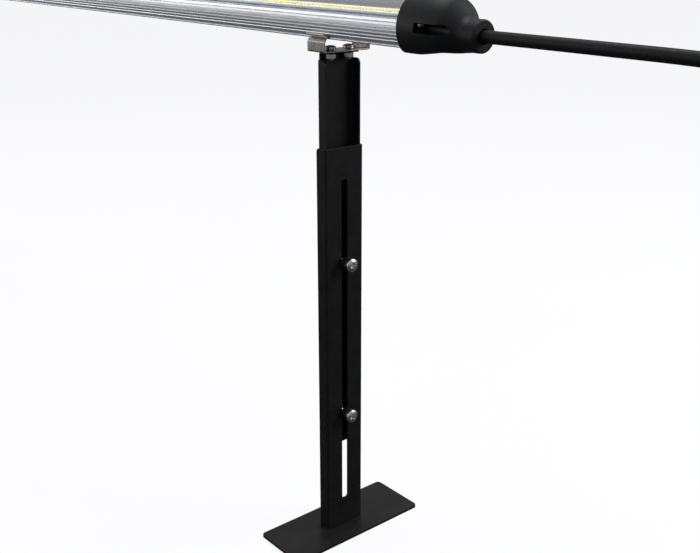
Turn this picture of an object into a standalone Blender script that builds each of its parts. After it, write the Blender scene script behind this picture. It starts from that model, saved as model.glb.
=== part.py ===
"""Under-canopy light bar on two height-adjustable stands.

The bar runs along X at a height above the floor, +Z is up, and the origin lies on the floor under
the middle of the bar. Each stand has an outer channel on a foot plate and an inner channel that
slides in it, held by two clamping screws. A spring clip on the inner channel grips the bar.
"""

import math

import bmesh
import bpy
from mathutils import Vector

MM = 0.001
GAP = 0.3 * MM              # clearance between pieces that rest on or pass through each other

# Foot plate and outer channel
STAND_SPACING = 1195.2 * MM  # slotted face to slotted face
PLATE_LENGTH = 150.0 * MM
PLATE_WIDTH = 59.0 * MM
PLATE_THICKNESS = 2.5 * MM
PLATE_CORNER = 4.0 * MM
SHEET = 1.5 * MM
CHANNEL_WIDTH = 42.0 * MM
CHANNEL_DEPTH = 12.4 * MM
CHANNEL_HEIGHT = 372.0 * MM
CHANNEL_BEND = 1.3 * MM      # bend radius at the middle of the sheet
CHANNEL_CORNER = 3.0 * MM
SLOT_WIDTH = 6.6 * MM
SLOT_BOTTOM = 27.2 * MM      # above the plate
SLOT_TOP_MARGIN = 28.1 * MM  # below the channel's upper edge

# Inner channel, at its rest height
INNER_LIFT = 82.4 * MM       # lower edge above the plate
INNER_FLANGE = 363.1 * MM
INNER_CORNER = 4.5 * MM
TAB_RISE = 6.8 * MM          # tab's upper face above the flanges
TAB_REACH = 10.8 * MM
TAB_BEND = 1.6 * MM
LOWER_SCREW_UP = 37.0 * MM   # above the inner channel's lower edge
SCREW_PITCH = 148.3 * MM

# Clamping screws (M6), with their bushes and nuts
M6 = 6.0 * MM
M6_HEAD = 12.5 * MM
M6_HEAD_HEIGHT = 5.9 * MM
M6_DOME = 2.4 * MM
M6_TAIL = 1.2 * MM           # thread standing out of the nut
BUSH_LENGTH = 6.4 * MM
BUSH_DIAMETER = 11.6 * MM
M6_NUT_FLATS = 10.0 * MM
M6_NUT_HEIGHT = 5.2 * MM
BORE_PLAY = 0.6 * MM         # bore over shank, on the diameter

# Spring clip and its screws (M5)
CLIP_SHEET = 1.0 * MM
CLIP_LENGTH = 22.6 * MM      # along the bar
CLIP_PINCH = 3.75 * MM        # arm's outside beyond the inside of its waist
CLIP_ARM = 8.6 * MM          # straight part of the arm above the clip's underside
CLIP_BEND = 1.0 * MM
CLIP_SETBACK = 7.0 * MM      # clip's middle behind the slotted face
CLIP_RISE = 25.9 * MM        # clip's underside to the bar's axis
CLIP_HOOK = 0.1 * MM         # waist's inside behind the rail's edge
WAIST_CORNER = 0.6 * MM      # from the waist's bend to where its two sides would meet
WAIST_DROP = 12.6 * MM       # waist below the bar's axis
LIP_RISE = 1.7 * MM
LIP_FLARE = 4.8 * MM         # lip's edge outside the corner of the waist
M5 = 5.0 * MM
M5_HEAD = 9.5 * MM
M5_HEAD_HEIGHT = 3.7 * MM
M5_DOME = 1.7 * MM
M5_NUT_FLATS = 8.0 * MM
M5_NUT_HEIGHT = 4.6 * MM
M5_TAIL = 1.0 * MM
CLIP_SCREW_SPACING = 19.5 * MM
CLIP_SCREW_SETBACK = 6.3 * MM

# Light bar: housing, cover and board. Heights are from the bar's axis.
TUBE_LENGTH = 1400.0 * MM
TUBE_RADIUS = 23.6 * MM
TUBE_WALL = 1.8 * MM
TUBE_BOTTOM = -14.8 * MM
LIP_HEIGHT = 6.0 * MM
PLATFORM_TOP = 7.1 * MM
PLATFORM_INSET = 9.1 * MM    # platform's edge inside the tube's radius
COVER_GROOVE = 2.5 * MM      # width of the groove that takes the cover's foot
COVER_GROOVE_FLOOR = 3.0 * MM
COVER_WALL = 1.6 * MM
PORT_DIAMETER = 2.6 * MM     # screw port for the end caps
PORT_INSET = 3.9 * MM        # port's middle inside the tube's radius
PORT_UP = 3.2 * MM
RIB_COUNT = 6
RIB_FIRST = 0.157            # first groove and spacing, as parts of the side's arc
RIB_PITCH = 0.153
RIB_END = -11.1 * MM         # height at which the ribs end
RIB_SHORT = 0.43             # from a groove's middle to the end of the rib below it, in spacings
RIB_GROOVE = 1.0 * MM
RIB_DEPTH = 0.5 * MM
NECK_TOP = -12.1 * MM        # the round side ends here, in the neck held by the clips
NECK_BOTTOM = -13.3 * MM
RAIL_TOP = -14.3 * MM        # rail under the neck
RAIL_OUT = 0.5 * MM          # rail's edge outside the neck
RAIL_CHAMFER = 0.3 * MM
RAIL_WALL = 3.2 * MM         # chamber's side to the rail's edge
BOARD_EDGE = 0.5 * MM        # platform beside the board
BOARD_THICKNESS = 1.6 * MM
BOARD_MARGIN = 12.0 * MM     # board's end inside the housing's end
LED_WIDTH = 3.0 * MM
LED_HEIGHT = 1.6 * MM
LED_OUT = 4.0 * MM           # row's middle from the bar's axis
LED_MARGIN = 4.0 * MM

# Parts inside the housing
DRIVER_LENGTH = 230.0 * MM
DRIVER_WIDTH = 24.0 * MM
DRIVER_HEIGHT = 11.5 * MM
DRIVER_X = 300.0 * MM
TERMINAL_LENGTH = 22.0 * MM
TERMINAL_WIDTH = 16.0 * MM
TERMINAL_HEIGHT = 8.5 * MM
TERMINAL_X = 640.0 * MM
INPUT_LEAD = 5.0 * MM
BOARD_LEAD = 1.8 * MM

# End caps. Lengths run outwards from the rim, which overlaps the tube.
CAP_OVERLAP = 12.0 * MM
CAP_WALL = 2.4 * MM          # cap's outside beyond the tube's
CAP_FLOOR = 4.4 * MM         # cap's underside below the tube's
CAP_LENGTH = 64.4 * MM
CAP_WEB = 5.3 * MM           # under the screws' heads
COLLAR_RADIUS = 12.0 * MM
COLLAR_DROP = 3.2 * MM       # collar's axis below the bar's axis
CAVITY_RADIUS = 12.8 * MM
CAVITY_RISE = 0.5 * MM       # cavity's axis above the bar's axis
CAVITY_END = 35.8 * MM
SEAL_DIAMETER = 17.0 * MM
SEAL_END = 58.2 * MM
EXIT_DIAMETER = 11.6 * MM
CUT_OVERRUN = 4.0 * MM       # how far a cutter starts before the face that it cuts
GASKET = 1.5 * MM
GASKET_HOLE = (0.67, 0.62)   # gasket's opening across and up, as parts of its outside
M3 = 2.9 * MM
M3_HEAD = 5.6 * MM
M3_HEAD_HEIGHT = 2.3 * MM
M3_LENGTH = 17.0 * MM
RECESS_PLAY = 0.9 * MM       # recess around the cap screw's head
PORT_SCREW = 2.0 * MM        # screw's tail inside the port

# Power cable
CABLE = 9.4 * MM
CABLE_INSIDE = 27.0 * MM     # stripped end behind the exit
COIL_CENTRE = (955.0 * MM, -70.0 * MM)
COIL_RADIUS = 52.0 * MM      # middle of the turns
COIL_FLOOR = 0.2 * MM
PLUG_LENGTH = 30.0 * MM
PLUG_WIDTH = 25.0 * MM
PLUG_HEIGHT = 21.0 * MM
PLUG_TAPER = 27.0 * MM
PLUG_REAR = (896.0 * MM, 10.0 * MM)
BLADE_SPACING = 12.7 * MM
BLADE = (1.5 * MM, 17.0 * MM, 6.3 * MM)
GROUND_PIN = 4.8 * MM
GROUND_LENGTH = 20.0 * MM
GROUND_DROP = 5.0 * MM
BLADE_RISE = 3.6 * MM

# The cable's route, through points chosen along it, in metres
CABLE_ROUTE = (
    (0.7254, 0.000, 0.4778), (0.7524, 0.000, 0.4778), (0.8000, 0.000, 0.4778),
    (0.8600, 0.000, 0.4777), (0.9150, 0.000, 0.4774), (0.9450, 0.000, 0.4759),
    (0.9700, 0.000, 0.4695), (0.9920, 0.000, 0.4556), (1.0070, 0.000, 0.4327),
    (1.0145, 0.000, 0.4030), (1.0175, 0.000, 0.3600), (1.0185, 0.000, 0.3000),
    (1.0185, 0.000, 0.2300), (1.0185, 0.000, 0.1600), (1.0183, 0.000, 0.1050),
    (1.0178, -0.001, 0.0700), (1.0168, -0.007, 0.0390), (1.0152, -0.020, 0.0160),
    (1.0135, -0.036, 0.0062),
)
TAIL_ROUTE = (
    (0.9002, -0.0330, 0.0138), (0.8990, -0.0200, 0.0128), (0.8972, -0.0060, 0.0114),
    (0.8962, 0.0020, 0.0107), (0.8960, 0.0097, 0.0105),
)

# Heights and places worked out from the sizes above
PLATE_TOP = PLATE_THICKNESS
INNER_BOTTOM = PLATE_TOP + INNER_LIFT
FLANGE_TOP = INNER_BOTTOM + INNER_FLANGE
TAB_TOP = FLANGE_TOP + TAB_RISE
CLIP_BASE = TAB_TOP + GAP
BAR_Z = CLIP_BASE + CLIP_RISE
RIM_X = TUBE_LENGTH / 2 - CAP_OVERLAP
INNER_FRONT = SHEET + GAP            # behind the slotted face
INNER_HALF = CHANNEL_WIDTH / 2 - SHEET - GAP
NECK = math.sqrt(TUBE_RADIUS ** 2 - NECK_TOP ** 2)
RAIL_EDGE = NECK + RAIL_OUT
CLIP_WAIST = RAIL_EDGE - CLIP_HOOK
PORT_OUT = TUBE_RADIUS - PORT_INSET
PLATFORM_HALF = TUBE_RADIUS - PLATFORM_INSET
BOARD_HALF = PLATFORM_HALF - BOARD_EDGE
CAP_RADIUS = TUBE_RADIUS + CAP_WALL
CAP_BOTTOM = CAP_FLOOR - TUBE_BOTTOM

ALONG_X = (math.pi / 2, 0.0, math.pi / 2)  # local X, Y, Z to world Y, Z, X
AXIS_X = (0.0, math.pi / 2, 0.0)           # local Z to +X

ROUND = 20                  # sides of a round piece
FINE = 24                   # sides of a larger one


def clear_scene():
    for old in list(bpy.data.objects):
        bpy.data.objects.remove(old, do_unlink=True)


def new_collection(name):
    group = bpy.data.collections.new(name)
    bpy.context.scene.collection.children.link(group)
    return group


clear_scene()
PARTS = new_collection("light_bar_on_stands")
CUTTERS = new_collection("cutters")


def finish(name, colour, roughness, metallic=0.0):
    """A Principled material in one colour."""
    material = bpy.data.materials.new(name)
    material.use_nodes = True
    shader = material.node_tree.nodes["Principled BSDF"]
    shader.inputs["Base Color"].default_value = (*colour, 1.0)
    shader.inputs["Roughness"].default_value = roughness
    shader.inputs["Metallic"].default_value = metallic
    return material


BLACK_COAT = finish("black_powder_coat", (0.012, 0.012, 0.013), 0.5)
STAINLESS = finish("stainless_steel", (0.55, 0.52, 0.48), 0.3, 1.0)
ALUMINIUM = finish("aluminium", (0.78, 0.79, 0.8), 0.32, 1.0)
CLEAR = finish("clear_cover", (0.9, 0.92, 0.95), 0.05)
BOARD_WHITE = finish("board_white", (0.8, 0.8, 0.82), 0.5)
PHOSPHOR = finish("led_phosphor", (0.85, 0.8, 0.12), 0.4)
BLACK_PLASTIC = finish("black_plastic", (0.015, 0.016, 0.018), 0.42)
BLACK_RUBBER = finish("black_rubber", (0.012, 0.012, 0.012), 0.6)
GREY_RUBBER = finish("grey_rubber", (0.2, 0.2, 0.21), 0.7)
DRIVER_WHITE = finish("driver_case", (0.75, 0.75, 0.73), 0.5)
BRASS = finish("brass", (0.75, 0.6, 0.3), 0.3, 1.0)


def add(name, data, material, parent=None, place=(0.0, 0.0, 0.0), turn=(0.0, 0.0, 0.0)):
    """Puts a piece in the parts' collection."""
    piece = bpy.data.objects.new(name, data)
    data.materials.append(material)
    PARTS.objects.link(piece)
    piece.parent = parent
    piece.location = place
    piece.rotation_euler = turn
    return piece


def empty(name, place, turn=(0.0, 0.0, 0.0), parent=None):
    guide = bpy.data.objects.new(name, None)
    PARTS.objects.link(guide)
    guide.location = place
    guide.rotation_euler = turn
    guide.parent = parent
    return guide


def arc(centre, radius, start, end, steps):
    """Points on an arc, angles in degrees."""
    angles = [math.radians(start + (end - start) * i / steps) for i in range(steps + 1)]
    return [(centre[0] + radius * math.cos(a), centre[1] + radius * math.sin(a)) for a in angles]


def circle(centre, radius, steps=ROUND):
    return arc(centre, radius, 0, 360, steps)[:-1]


def rounded(corners, radius, steps=3, closed=False):
    """The path through these corners, with each turn replaced by an arc of this radius."""
    points = [Vector(corner) for corner in corners]
    count = len(points)
    path = []
    for i, corner in enumerate(points):
        if not closed and i in (0, count - 1):
            path.append(corner)
            continue
        before = (points[i - 1] - corner).normalized()
        after = (points[(i + 1) % count] - corner).normalized()
        half = before.angle(after) / 2
        reach = radius / math.tan(half)
        middle = corner + (before + after).normalized() * (radius / math.sin(half))
        first = (corner + before * reach - middle).normalized()
        last = (corner + after * reach - middle).normalized()
        for k in range(steps + 1):
            path.append(middle + first.slerp(last, k / steps) * radius)
    return path


def outline(loops, thickness):
    """A flat outline in local X and Y with any holes, as thick along local Z."""
    curve = bpy.data.curves.new("outline", "CURVE")
    curve.dimensions = "2D"
    curve.fill_mode = "BOTH"
    curve.extrude = thickness / 2
    for loop in loops:
        spline = curve.splines.new("POLY")
        spline.points.add(len(loop) - 1)
        for point, (x, y) in zip(spline.points, loop):
            point.co = (x, y, 0.0, 1.0)
        spline.use_cyclic_u = True
    return curve


def turned(profile, steps=ROUND, ring=False):
    """A profile of (radius, height), listed from top to bottom, and the steps to turn it in."""
    mesh = bpy.data.meshes.new("turned")
    last = len(profile) if ring else len(profile) - 1
    edges = [(i, (i + 1) % len(profile)) for i in range(last)]
    mesh.from_pydata([(r, 0.0, z) for r, z in profile], edges, [])
    return mesh, steps


def add_turned(name, shape, material, **where):
    mesh, steps = shape
    piece = add(name, mesh, material, **where)
    screw = piece.modifiers.new("turn", "SCREW")
    screw.steps = steps
    screw.render_steps = steps
    screw.use_merge_vertices = True
    screw.merge_threshold = 0.00001
    screw.use_smooth_shade = True
    return piece


def strip(path, sweep, corner=0.0, tab=()):
    """An open sheet: a path swept along a vector. The far corners can be rounded, and the
    longest edge can grow a tab along more steps."""
    sheet = bmesh.new()
    near = [sheet.verts.new(point) for point in path]
    edges = [sheet.edges.new(pair) for pair in zip(near, near[1:])]
    grown = bmesh.ops.extrude_edge_only(sheet, edges=edges)["geom"]
    far = [item for item in grown if isinstance(item, bmesh.types.BMVert)]
    bmesh.ops.translate(sheet, verts=far, vec=sweep)
    web = max((e for e in grown if isinstance(e, bmesh.types.BMEdge) and e.verts[0] in far
               and e.verts[1] in far), key=lambda e: e.calc_length())
    for step in tab:
        grown = bmesh.ops.extrude_edge_only(sheet, edges=[web])["geom"]
        web = next(item for item in grown if isinstance(item, bmesh.types.BMEdge))
        bmesh.ops.translate(sheet, verts=list(web.verts), vec=step)
    if corner:
        ends = [vert for vert in far if len(vert.link_edges) == 2]
        bmesh.ops.bevel(sheet, geom=ends, offset=corner, offset_type="OFFSET", segments=4,
                        profile=0.5, affect="VERTICES")
    bmesh.ops.recalc_face_normals(sheet, faces=sheet.faces)
    mesh = bpy.data.meshes.new("sheet")
    sheet.to_mesh(mesh)
    sheet.free()
    return mesh


def thicken(piece, thickness):
    solid = piece.modifiers.new("thickness", "SOLIDIFY")
    solid.thickness = thickness
    solid.offset = 0.0
    solid.use_even_offset = True


def box(size, bevel=0.0, segments=2):
    """A box about its own middle, with all its edges rounded if a bevel is given."""
    block = bmesh.new()
    bmesh.ops.create_cube(block, size=1.0)
    bmesh.ops.scale(block, vec=size, verts=block.verts)
    if bevel:
        bmesh.ops.bevel(block, geom=block.edges[:], offset=bevel, segments=segments,
                        profile=0.5, affect="EDGES")
    mesh = bpy.data.meshes.new("box")
    block.to_mesh(mesh)
    block.free()
    return mesh


def loft(sections):
    """A closed solid through rings of equally many points."""
    body = bmesh.new()
    rings = [[body.verts.new(point) for point in ring] for ring in sections]
    count = len(rings[0])
    for low, high in zip(rings, rings[1:]):
        for i in range(count):
            j = (i + 1) % count
            body.faces.new((low[i], low[j], high[j], high[i]))
    body.faces.new(rings[0][::-1])
    body.faces.new(rings[-1])
    bmesh.ops.recalc_face_normals(body, faces=body.faces)
    mesh = bpy.data.meshes.new("loft")
    body.to_mesh(mesh)
    body.free()
    return mesh


def cut(piece, shape, place, turn=(0.0, 0.0, 0.0)):
    """Cuts a flat outline's prism or a mesh from a piece, placed in the piece's own axes."""
    cutter = bpy.data.objects.new(piece.name + "_cutter", shape)
    CUTTERS.objects.link(cutter)
    if cutter.type == "CURVE":
        graph = bpy.context.evaluated_depsgraph_get()
        mesh = bpy.data.meshes.new_from_object(cutter.evaluated_get(graph))
        bpy.data.objects.remove(cutter, do_unlink=True)
        welded = bmesh.new()
        welded.from_mesh(mesh)
        bmesh.ops.remove_doubles(welded, verts=welded.verts, dist=0.000001)
        bmesh.ops.recalc_face_normals(welded, faces=welded.faces)
        welded.to_mesh(mesh)
        welded.free()
        cutter = bpy.data.objects.new(piece.name + "_cutter", mesh)
        CUTTERS.objects.link(cutter)
    cutter.parent = piece
    cutter.location = place
    cutter.rotation_euler = turn
    cutter.hide_render = True
    cutter.display_type = "WIRE"
    boolean = piece.modifiers.new("cut", "BOOLEAN")
    boolean.operation = "DIFFERENCE"
    boolean.solver = "EXACT"
    boolean.object = cutter


def tube_along(route, diameter, spacing, sides=2):
    """A round tube whose points are read from a smooth curve through the route."""
    points = [Vector(point) for point in route]
    ends = [points[0] * 2 - points[1], *points, points[-1] * 2 - points[-2]]
    path = []
    for before, start, end, after in zip(ends, ends[1:], ends[2:], ends[3:]):
        steps = max(1, round((end - start).length / spacing))
        for k in range(steps):
            t = k / steps
            path.append(0.5 * (2 * start + (end - before) * t
                               + (2 * before - 5 * start + 4 * end - after) * t ** 2
                               + (3 * start - before - 3 * end + after) * t ** 3))
    path.append(points[-1])
    curve = bpy.data.curves.new("tube", "CURVE")
    curve.dimensions = "3D"
    curve.bevel_depth = diameter / 2
    curve.bevel_resolution = sides
    curve.use_fill_caps = True
    spline = curve.splines.new("POLY")
    spline.points.add(len(path) - 1)
    for point, place in zip(spline.points, path):
        point.co = (*place, 1.0)
    return curve


def pan_head_screw(shank, head, height, dome, length, tip=0.6 * MM, steps=ROUND):
    """A turned pan-head screw. Its head's underside is at height 0 and its shank runs down."""
    side = height - dome
    crown = [(head / 2 * math.sin(a), side + dome * math.cos(a))
             for a in (math.radians(15 * k) for k in range(7))]
    shaft = [(shank / 2, 0.0), (shank / 2, tip - length), (shank / 2 - tip, -length), (0.0, -length)]
    return turned([*crown, (head / 2, 0.0), *shaft], steps)


def cross_recess(piece, height, head, depth=1.6 * MM):
    """Cuts a cross recess in the top of a screw's head."""
    arm = head * 0.27
    blade = head * 0.075
    corners = [(arm, blade), (blade, blade), (blade, arm)]
    cross = []
    for quarter in range(4):
        for x, y in corners:
            for _ in range(quarter):
                x, y = -y, x
            cross.append((x, y))
    cut(piece, outline([cross], 2 * depth), (0.0, 0.0, height), (0.0, 0.0, math.radians(10)))


def hexagon(flats):
    return arc((0.0, 0.0), flats / math.sqrt(3), 30, 330, 5)


def make_foot(side, stand):
    """Foot plate with the outer channel welded on it."""
    half_x = PLATE_WIDTH / 2
    half_y = PLATE_LENGTH / 2
    corners = [(-half_x, -half_y, 0), (half_x, -half_y, 0), (half_x, half_y, 0), (-half_x, half_y, 0)]
    edge = [(p.x, p.y) for p in rounded(corners, PLATE_CORNER, closed=True)]
    add(side + "_foot_plate", outline([edge], PLATE_THICKNESS), BLACK_COAT, parent=stand,
        place=(-CHANNEL_DEPTH / 2, 0.0, PLATE_THICKNESS / 2))
    middle = CHANNEL_WIDTH / 2 - SHEET / 2
    path = rounded([(-CHANNEL_DEPTH, -middle, 0), (-SHEET / 2, -middle, 0),
                    (-SHEET / 2, middle, 0), (-CHANNEL_DEPTH, middle, 0)], CHANNEL_BEND)
    sheet = strip(path, (0.0, 0.0, CHANNEL_HEIGHT - GAP), CHANNEL_CORNER)
    outer = add(side + "_outer_channel", sheet, BLACK_COAT, parent=stand,
                place=(0.0, 0.0, PLATE_TOP + GAP))
    thicken(outer, SHEET)
    top = CHANNEL_HEIGHT - SLOT_TOP_MARGIN - SLOT_WIDTH / 2 - GAP
    bottom = SLOT_BOTTOM + SLOT_WIDTH / 2 - GAP
    slot = (arc((bottom, 0.0), SLOT_WIDTH / 2, 90, 270, 8)
            + arc((top, 0.0), SLOT_WIDTH / 2, -90, 90, 8))
    cut(outer, outline([slot], 4 * SHEET), (-SHEET / 2, 0.0, 0.0), (0.0, -math.pi / 2, 0.0))


def make_inner_channel(side, slider):
    """Inner channel: web at the back, flanges forward, and a tab on top that carries the clip."""
    back = -CHANNEL_DEPTH + SHEET / 2
    middle = INNER_HALF - SHEET / 2
    path = rounded([(-INNER_FRONT, -middle, 0), (back, -middle, 0),
                    (back, middle, 0), (-INNER_FRONT, middle, 0)], TAB_BEND)
    rise = TAB_RISE - SHEET / 2
    bend = rounded([(back, 0, 0), (back, 0, rise), (back + TAB_REACH - SHEET / 2, 0, rise)], TAB_BEND)
    steps = [after - before for before, after in zip(bend, bend[1:])]
    sheet = strip(path, (0.0, 0.0, INNER_FLANGE), INNER_CORNER, steps)
    inner = add(side + "_inner_channel", sheet, BLACK_COAT, parent=slider,
                place=(0.0, 0.0, INNER_BOTTOM))
    thicken(inner, SHEET)
    for height in (LOWER_SCREW_UP, LOWER_SCREW_UP + SCREW_PITCH):
        cut(inner, outline([circle((0.0, 0.0), (M6 + BORE_PLAY) / 2)], 4 * SHEET),
            (back, 0.0, height), AXIS_X)
    for out in (-CLIP_SCREW_SPACING / 2, CLIP_SCREW_SPACING / 2):
        cut(inner, outline([circle((0.0, 0.0), (M5 + BORE_PLAY) / 2, 16)], 4 * SHEET),
            (-CLIP_SCREW_SETBACK, out, TAB_TOP - INNER_BOTTOM))


def make_clamping_screw(side, level, slider, height):
    """M6 screw through the slot, with a bush under its head and a nut behind the inner web."""
    head_seat = GAP + BUSH_LENGTH + GAP
    nut_front = CHANNEL_DEPTH + GAP
    length = head_seat + nut_front + M6_NUT_HEIGHT + M6_TAIL
    shape = pan_head_screw(M6, M6_HEAD, M6_HEAD_HEIGHT, M6_DOME, length)
    name = side + "_" + level
    screw = add_turned(name + "_clamp_screw", shape, STAINLESS, parent=slider,
                       place=(head_seat, 0.0, height), turn=AXIS_X)
    cross_recess(screw, M6_HEAD_HEIGHT, M6_HEAD)
    bore = (M6 + BORE_PLAY) / 2
    add(name + "_bush", outline([circle((0, 0), BUSH_DIAMETER / 2), circle((0, 0), bore)], BUSH_LENGTH),
        BLACK_PLASTIC, parent=slider, place=(GAP + BUSH_LENGTH / 2, 0.0, height), turn=AXIS_X)
    add(name + "_nut", outline([hexagon(M6_NUT_FLATS), circle((0, 0), bore)], M6_NUT_HEIGHT),
        STAINLESS, parent=slider, place=(-nut_front - M6_NUT_HEIGHT / 2, 0.0, height), turn=AXIS_X)


def make_clip(side, slider):
    """Spring clip, bolted to the tab with two M5 screws."""
    half = CLIP_SHEET / 2
    arm = CLIP_WAIST + CLIP_PINCH - half
    waist = CLIP_WAIST + half - WAIST_CORNER
    waist_z = CLIP_RISE - WAIST_DROP
    right = [(0, arm, half), (0, arm, CLIP_ARM), (0, waist, waist_z),
             (0, waist + LIP_FLARE, waist_z + LIP_RISE)]
    left = [(0, -y, z) for _, y, z in reversed(right)]
    path = [point + Vector((-CLIP_LENGTH / 2, 0, 0)) for point in rounded(left + right, CLIP_BEND)]
    clip = add(side + "_clip", strip(path, (CLIP_LENGTH, 0.0, 0.0)), STAINLESS, parent=slider,
               place=(-CLIP_SETBACK, 0.0, CLIP_BASE))
    thicken(clip, CLIP_SHEET)
    hole = (M5 + BORE_PLAY) / 2
    head_seat = CLIP_BASE + CLIP_SHEET + GAP
    nut_top = TAB_TOP - SHEET - GAP
    length = head_seat - nut_top + M5_NUT_HEIGHT + M5_TAIL
    for place, out in (("front", -CLIP_SCREW_SPACING / 2), ("rear", CLIP_SCREW_SPACING / 2)):
        cut(clip, outline([circle((0.0, 0.0), hole, 16)], 4 * CLIP_SHEET),
            (CLIP_SETBACK - CLIP_SCREW_SETBACK, out, half))
        shape = pan_head_screw(M5, M5_HEAD, M5_HEAD_HEIGHT, M5_DOME, length, steps=16)
        screw = add_turned(f"{side}_{place}_clip_screw", shape, STAINLESS, parent=slider,
                           place=(-CLIP_SCREW_SETBACK, out, head_seat))
        cross_recess(screw, M5_HEAD_HEIGHT, M5_HEAD, 1.0 * MM)
        add(f"{side}_{place}_clip_nut",
            outline([hexagon(M5_NUT_FLATS), circle((0, 0), hole, 16)], M5_NUT_HEIGHT), STAINLESS,
            parent=slider, place=(-CLIP_SCREW_SETBACK, out, nut_top - M5_NUT_HEIGHT / 2))


def make_stand(side, place, turn):
    """One stand: the foot stays on the floor and the slider moves up and down in it."""
    stand = empty(side + "_stand", place, turn)
    slider = empty(side + "_slider", (0.0, 0.0, 0.0), parent=stand)
    make_foot(side, stand)
    make_inner_channel(side, slider)
    make_clamping_screw(side, "lower", slider, INNER_BOTTOM + LOWER_SCREW_UP)
    make_clamping_screw(side, "upper", slider, INNER_BOTTOM + LOWER_SCREW_UP + SCREW_PITCH)
    make_clip(side, slider)


def mirrored(half):
    """A closed outline from its right half, which runs from top middle to bottom middle."""
    return half + [(-y, z) for y, z in reversed(half) if y > 0]


def on_circle(radius, height):
    return (math.sqrt(radius ** 2 - height ** 2), height)


def housing_side():
    """The ribbed right side of the housing, from the lip down."""
    radius = TUBE_RADIUS
    half_groove = math.degrees(RIB_GROOVE / 2 / radius)
    top = math.degrees(math.asin(LIP_HEIGHT / radius))
    span = top - math.degrees(math.asin(RIB_END / radius))
    pitch = RIB_PITCH * span
    side = [on_circle(radius, LIP_HEIGHT)]
    for k in range(RIB_COUNT):
        angle = top - RIB_FIRST * span - k * pitch
        side += arc((0, 0), radius, angle + pitch / 2, angle + half_groove, 1)
        side += arc((0, 0), radius - RIB_DEPTH, angle + half_groove, angle - half_groove, 1)
        side += arc((0, 0), radius, angle - half_groove, angle - RIB_SHORT * pitch, 1)
    return side


def housing_outline():
    """Housing section: a platform for the board, grooves for the cover and rails for the clips."""
    groove_out = PLATFORM_HALF + COVER_GROOVE
    half = [(0.0, PLATFORM_TOP), (PLATFORM_HALF, PLATFORM_TOP),
            (PLATFORM_HALF, COVER_GROOVE_FLOOR), (groove_out, COVER_GROOVE_FLOOR),
            (groove_out, LIP_HEIGHT), *housing_side(),
            (NECK, NECK_TOP), (NECK, NECK_BOTTOM), (RAIL_EDGE, RAIL_TOP),
            (RAIL_EDGE, TUBE_BOTTOM + RAIL_CHAMFER), (RAIL_EDGE - RAIL_CHAMFER, TUBE_BOTTOM),
            (0.0, TUBE_BOTTOM)]
    return mirrored(half)


def chamber_outline():
    """The closed chamber under the platform, which holds the driver."""
    inner = TUBE_RADIUS - TUBE_WALL
    shelf = PORT_UP - PORT_DIAMETER / 2 - 1.3 * MM
    floor = TUBE_BOTTOM + TUBE_WALL
    wall = RAIL_EDGE - RAIL_WALL
    edge = PLATFORM_HALF - TUBE_WALL
    low = math.degrees(math.asin((NECK_TOP + 2.5 * MM) / inner))
    high = math.degrees(math.asin(shelf / inner))
    half = [(0.0, PLATFORM_TOP - TUBE_WALL), (edge, PLATFORM_TOP - TUBE_WALL),
            (edge, COVER_GROOVE_FLOOR - TUBE_WALL),
            (PLATFORM_HALF + COVER_GROOVE, shelf), *arc((0, 0), inner, high, low, 5),
            (wall, NECK_TOP), (wall, floor), (0.0, floor)]
    return mirrored(half)


def cover_outline():
    """Cover section: a clear arch with a foot on each side that hooks into the housing."""
    outer = TUBE_RADIUS
    inner = TUBE_RADIUS - COVER_WALL
    bottom = LIP_HEIGHT + GAP
    flange = bottom + COVER_WALL
    foot_out = PLATFORM_HALF + COVER_GROOVE - GAP
    foot_in = PLATFORM_HALF + GAP
    foot_end = COVER_GROOVE_FLOOR + GAP
    start = math.degrees(math.asin(bottom / outer))
    crown = arc((0, 0), outer, 180 - start, start, 24)
    right = [(foot_out, bottom), (foot_out, foot_end), (foot_in, foot_end), (foot_in, flange)]
    low = math.degrees(math.asin(flange / inner))
    ceiling = arc((0, 0), inner, low, 180 - low, 20)
    left = [(-y, z) for y, z in reversed(right)]
    return crown + right + ceiling + left


def make_light_bar():
    """Housing extrusion, clear cover, board with its two rows of LEDs, and the driver."""
    ports = [circle((out, PORT_UP), PORT_DIAMETER / 2, 10) for out in (-PORT_OUT, PORT_OUT)]
    axis = (0.0, 0.0, BAR_Z)
    add("housing", outline([housing_outline(), chamber_outline(), *ports], TUBE_LENGTH), ALUMINIUM,
        place=axis, turn=ALONG_X)
    add("cover", outline([cover_outline()], TUBE_LENGTH), CLEAR, place=axis, turn=ALONG_X)
    board_z = BAR_Z + PLATFORM_TOP + GAP
    board_length = TUBE_LENGTH - 2 * BOARD_MARGIN
    add("led_board", box((board_length, 2 * BOARD_HALF, BOARD_THICKNESS)), BOARD_WHITE,
        place=(0.0, 0.0, board_z + BOARD_THICKNESS / 2))
    led_z = board_z + BOARD_THICKNESS + GAP + LED_HEIGHT / 2
    for place, out in (("front", -LED_OUT), ("rear", LED_OUT)):
        add(place + "_led_row", box((board_length - 2 * LED_MARGIN, LED_WIDTH, LED_HEIGHT)), PHOSPHOR,
            place=(0.0, out, led_z))
    floor = BAR_Z + TUBE_BOTTOM + TUBE_WALL + GAP
    add("driver", box((DRIVER_LENGTH, DRIVER_WIDTH, DRIVER_HEIGHT), 1.5 * MM), DRIVER_WHITE,
        place=(DRIVER_X, 0.0, floor + DRIVER_HEIGHT / 2))
    add("terminal_block", box((TERMINAL_LENGTH, TERMINAL_WIDTH, TERMINAL_HEIGHT), 1.0 * MM, 1),
        DRIVER_WHITE, place=(TERMINAL_X, 0.0, floor + TERMINAL_HEIGHT / 2))


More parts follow.
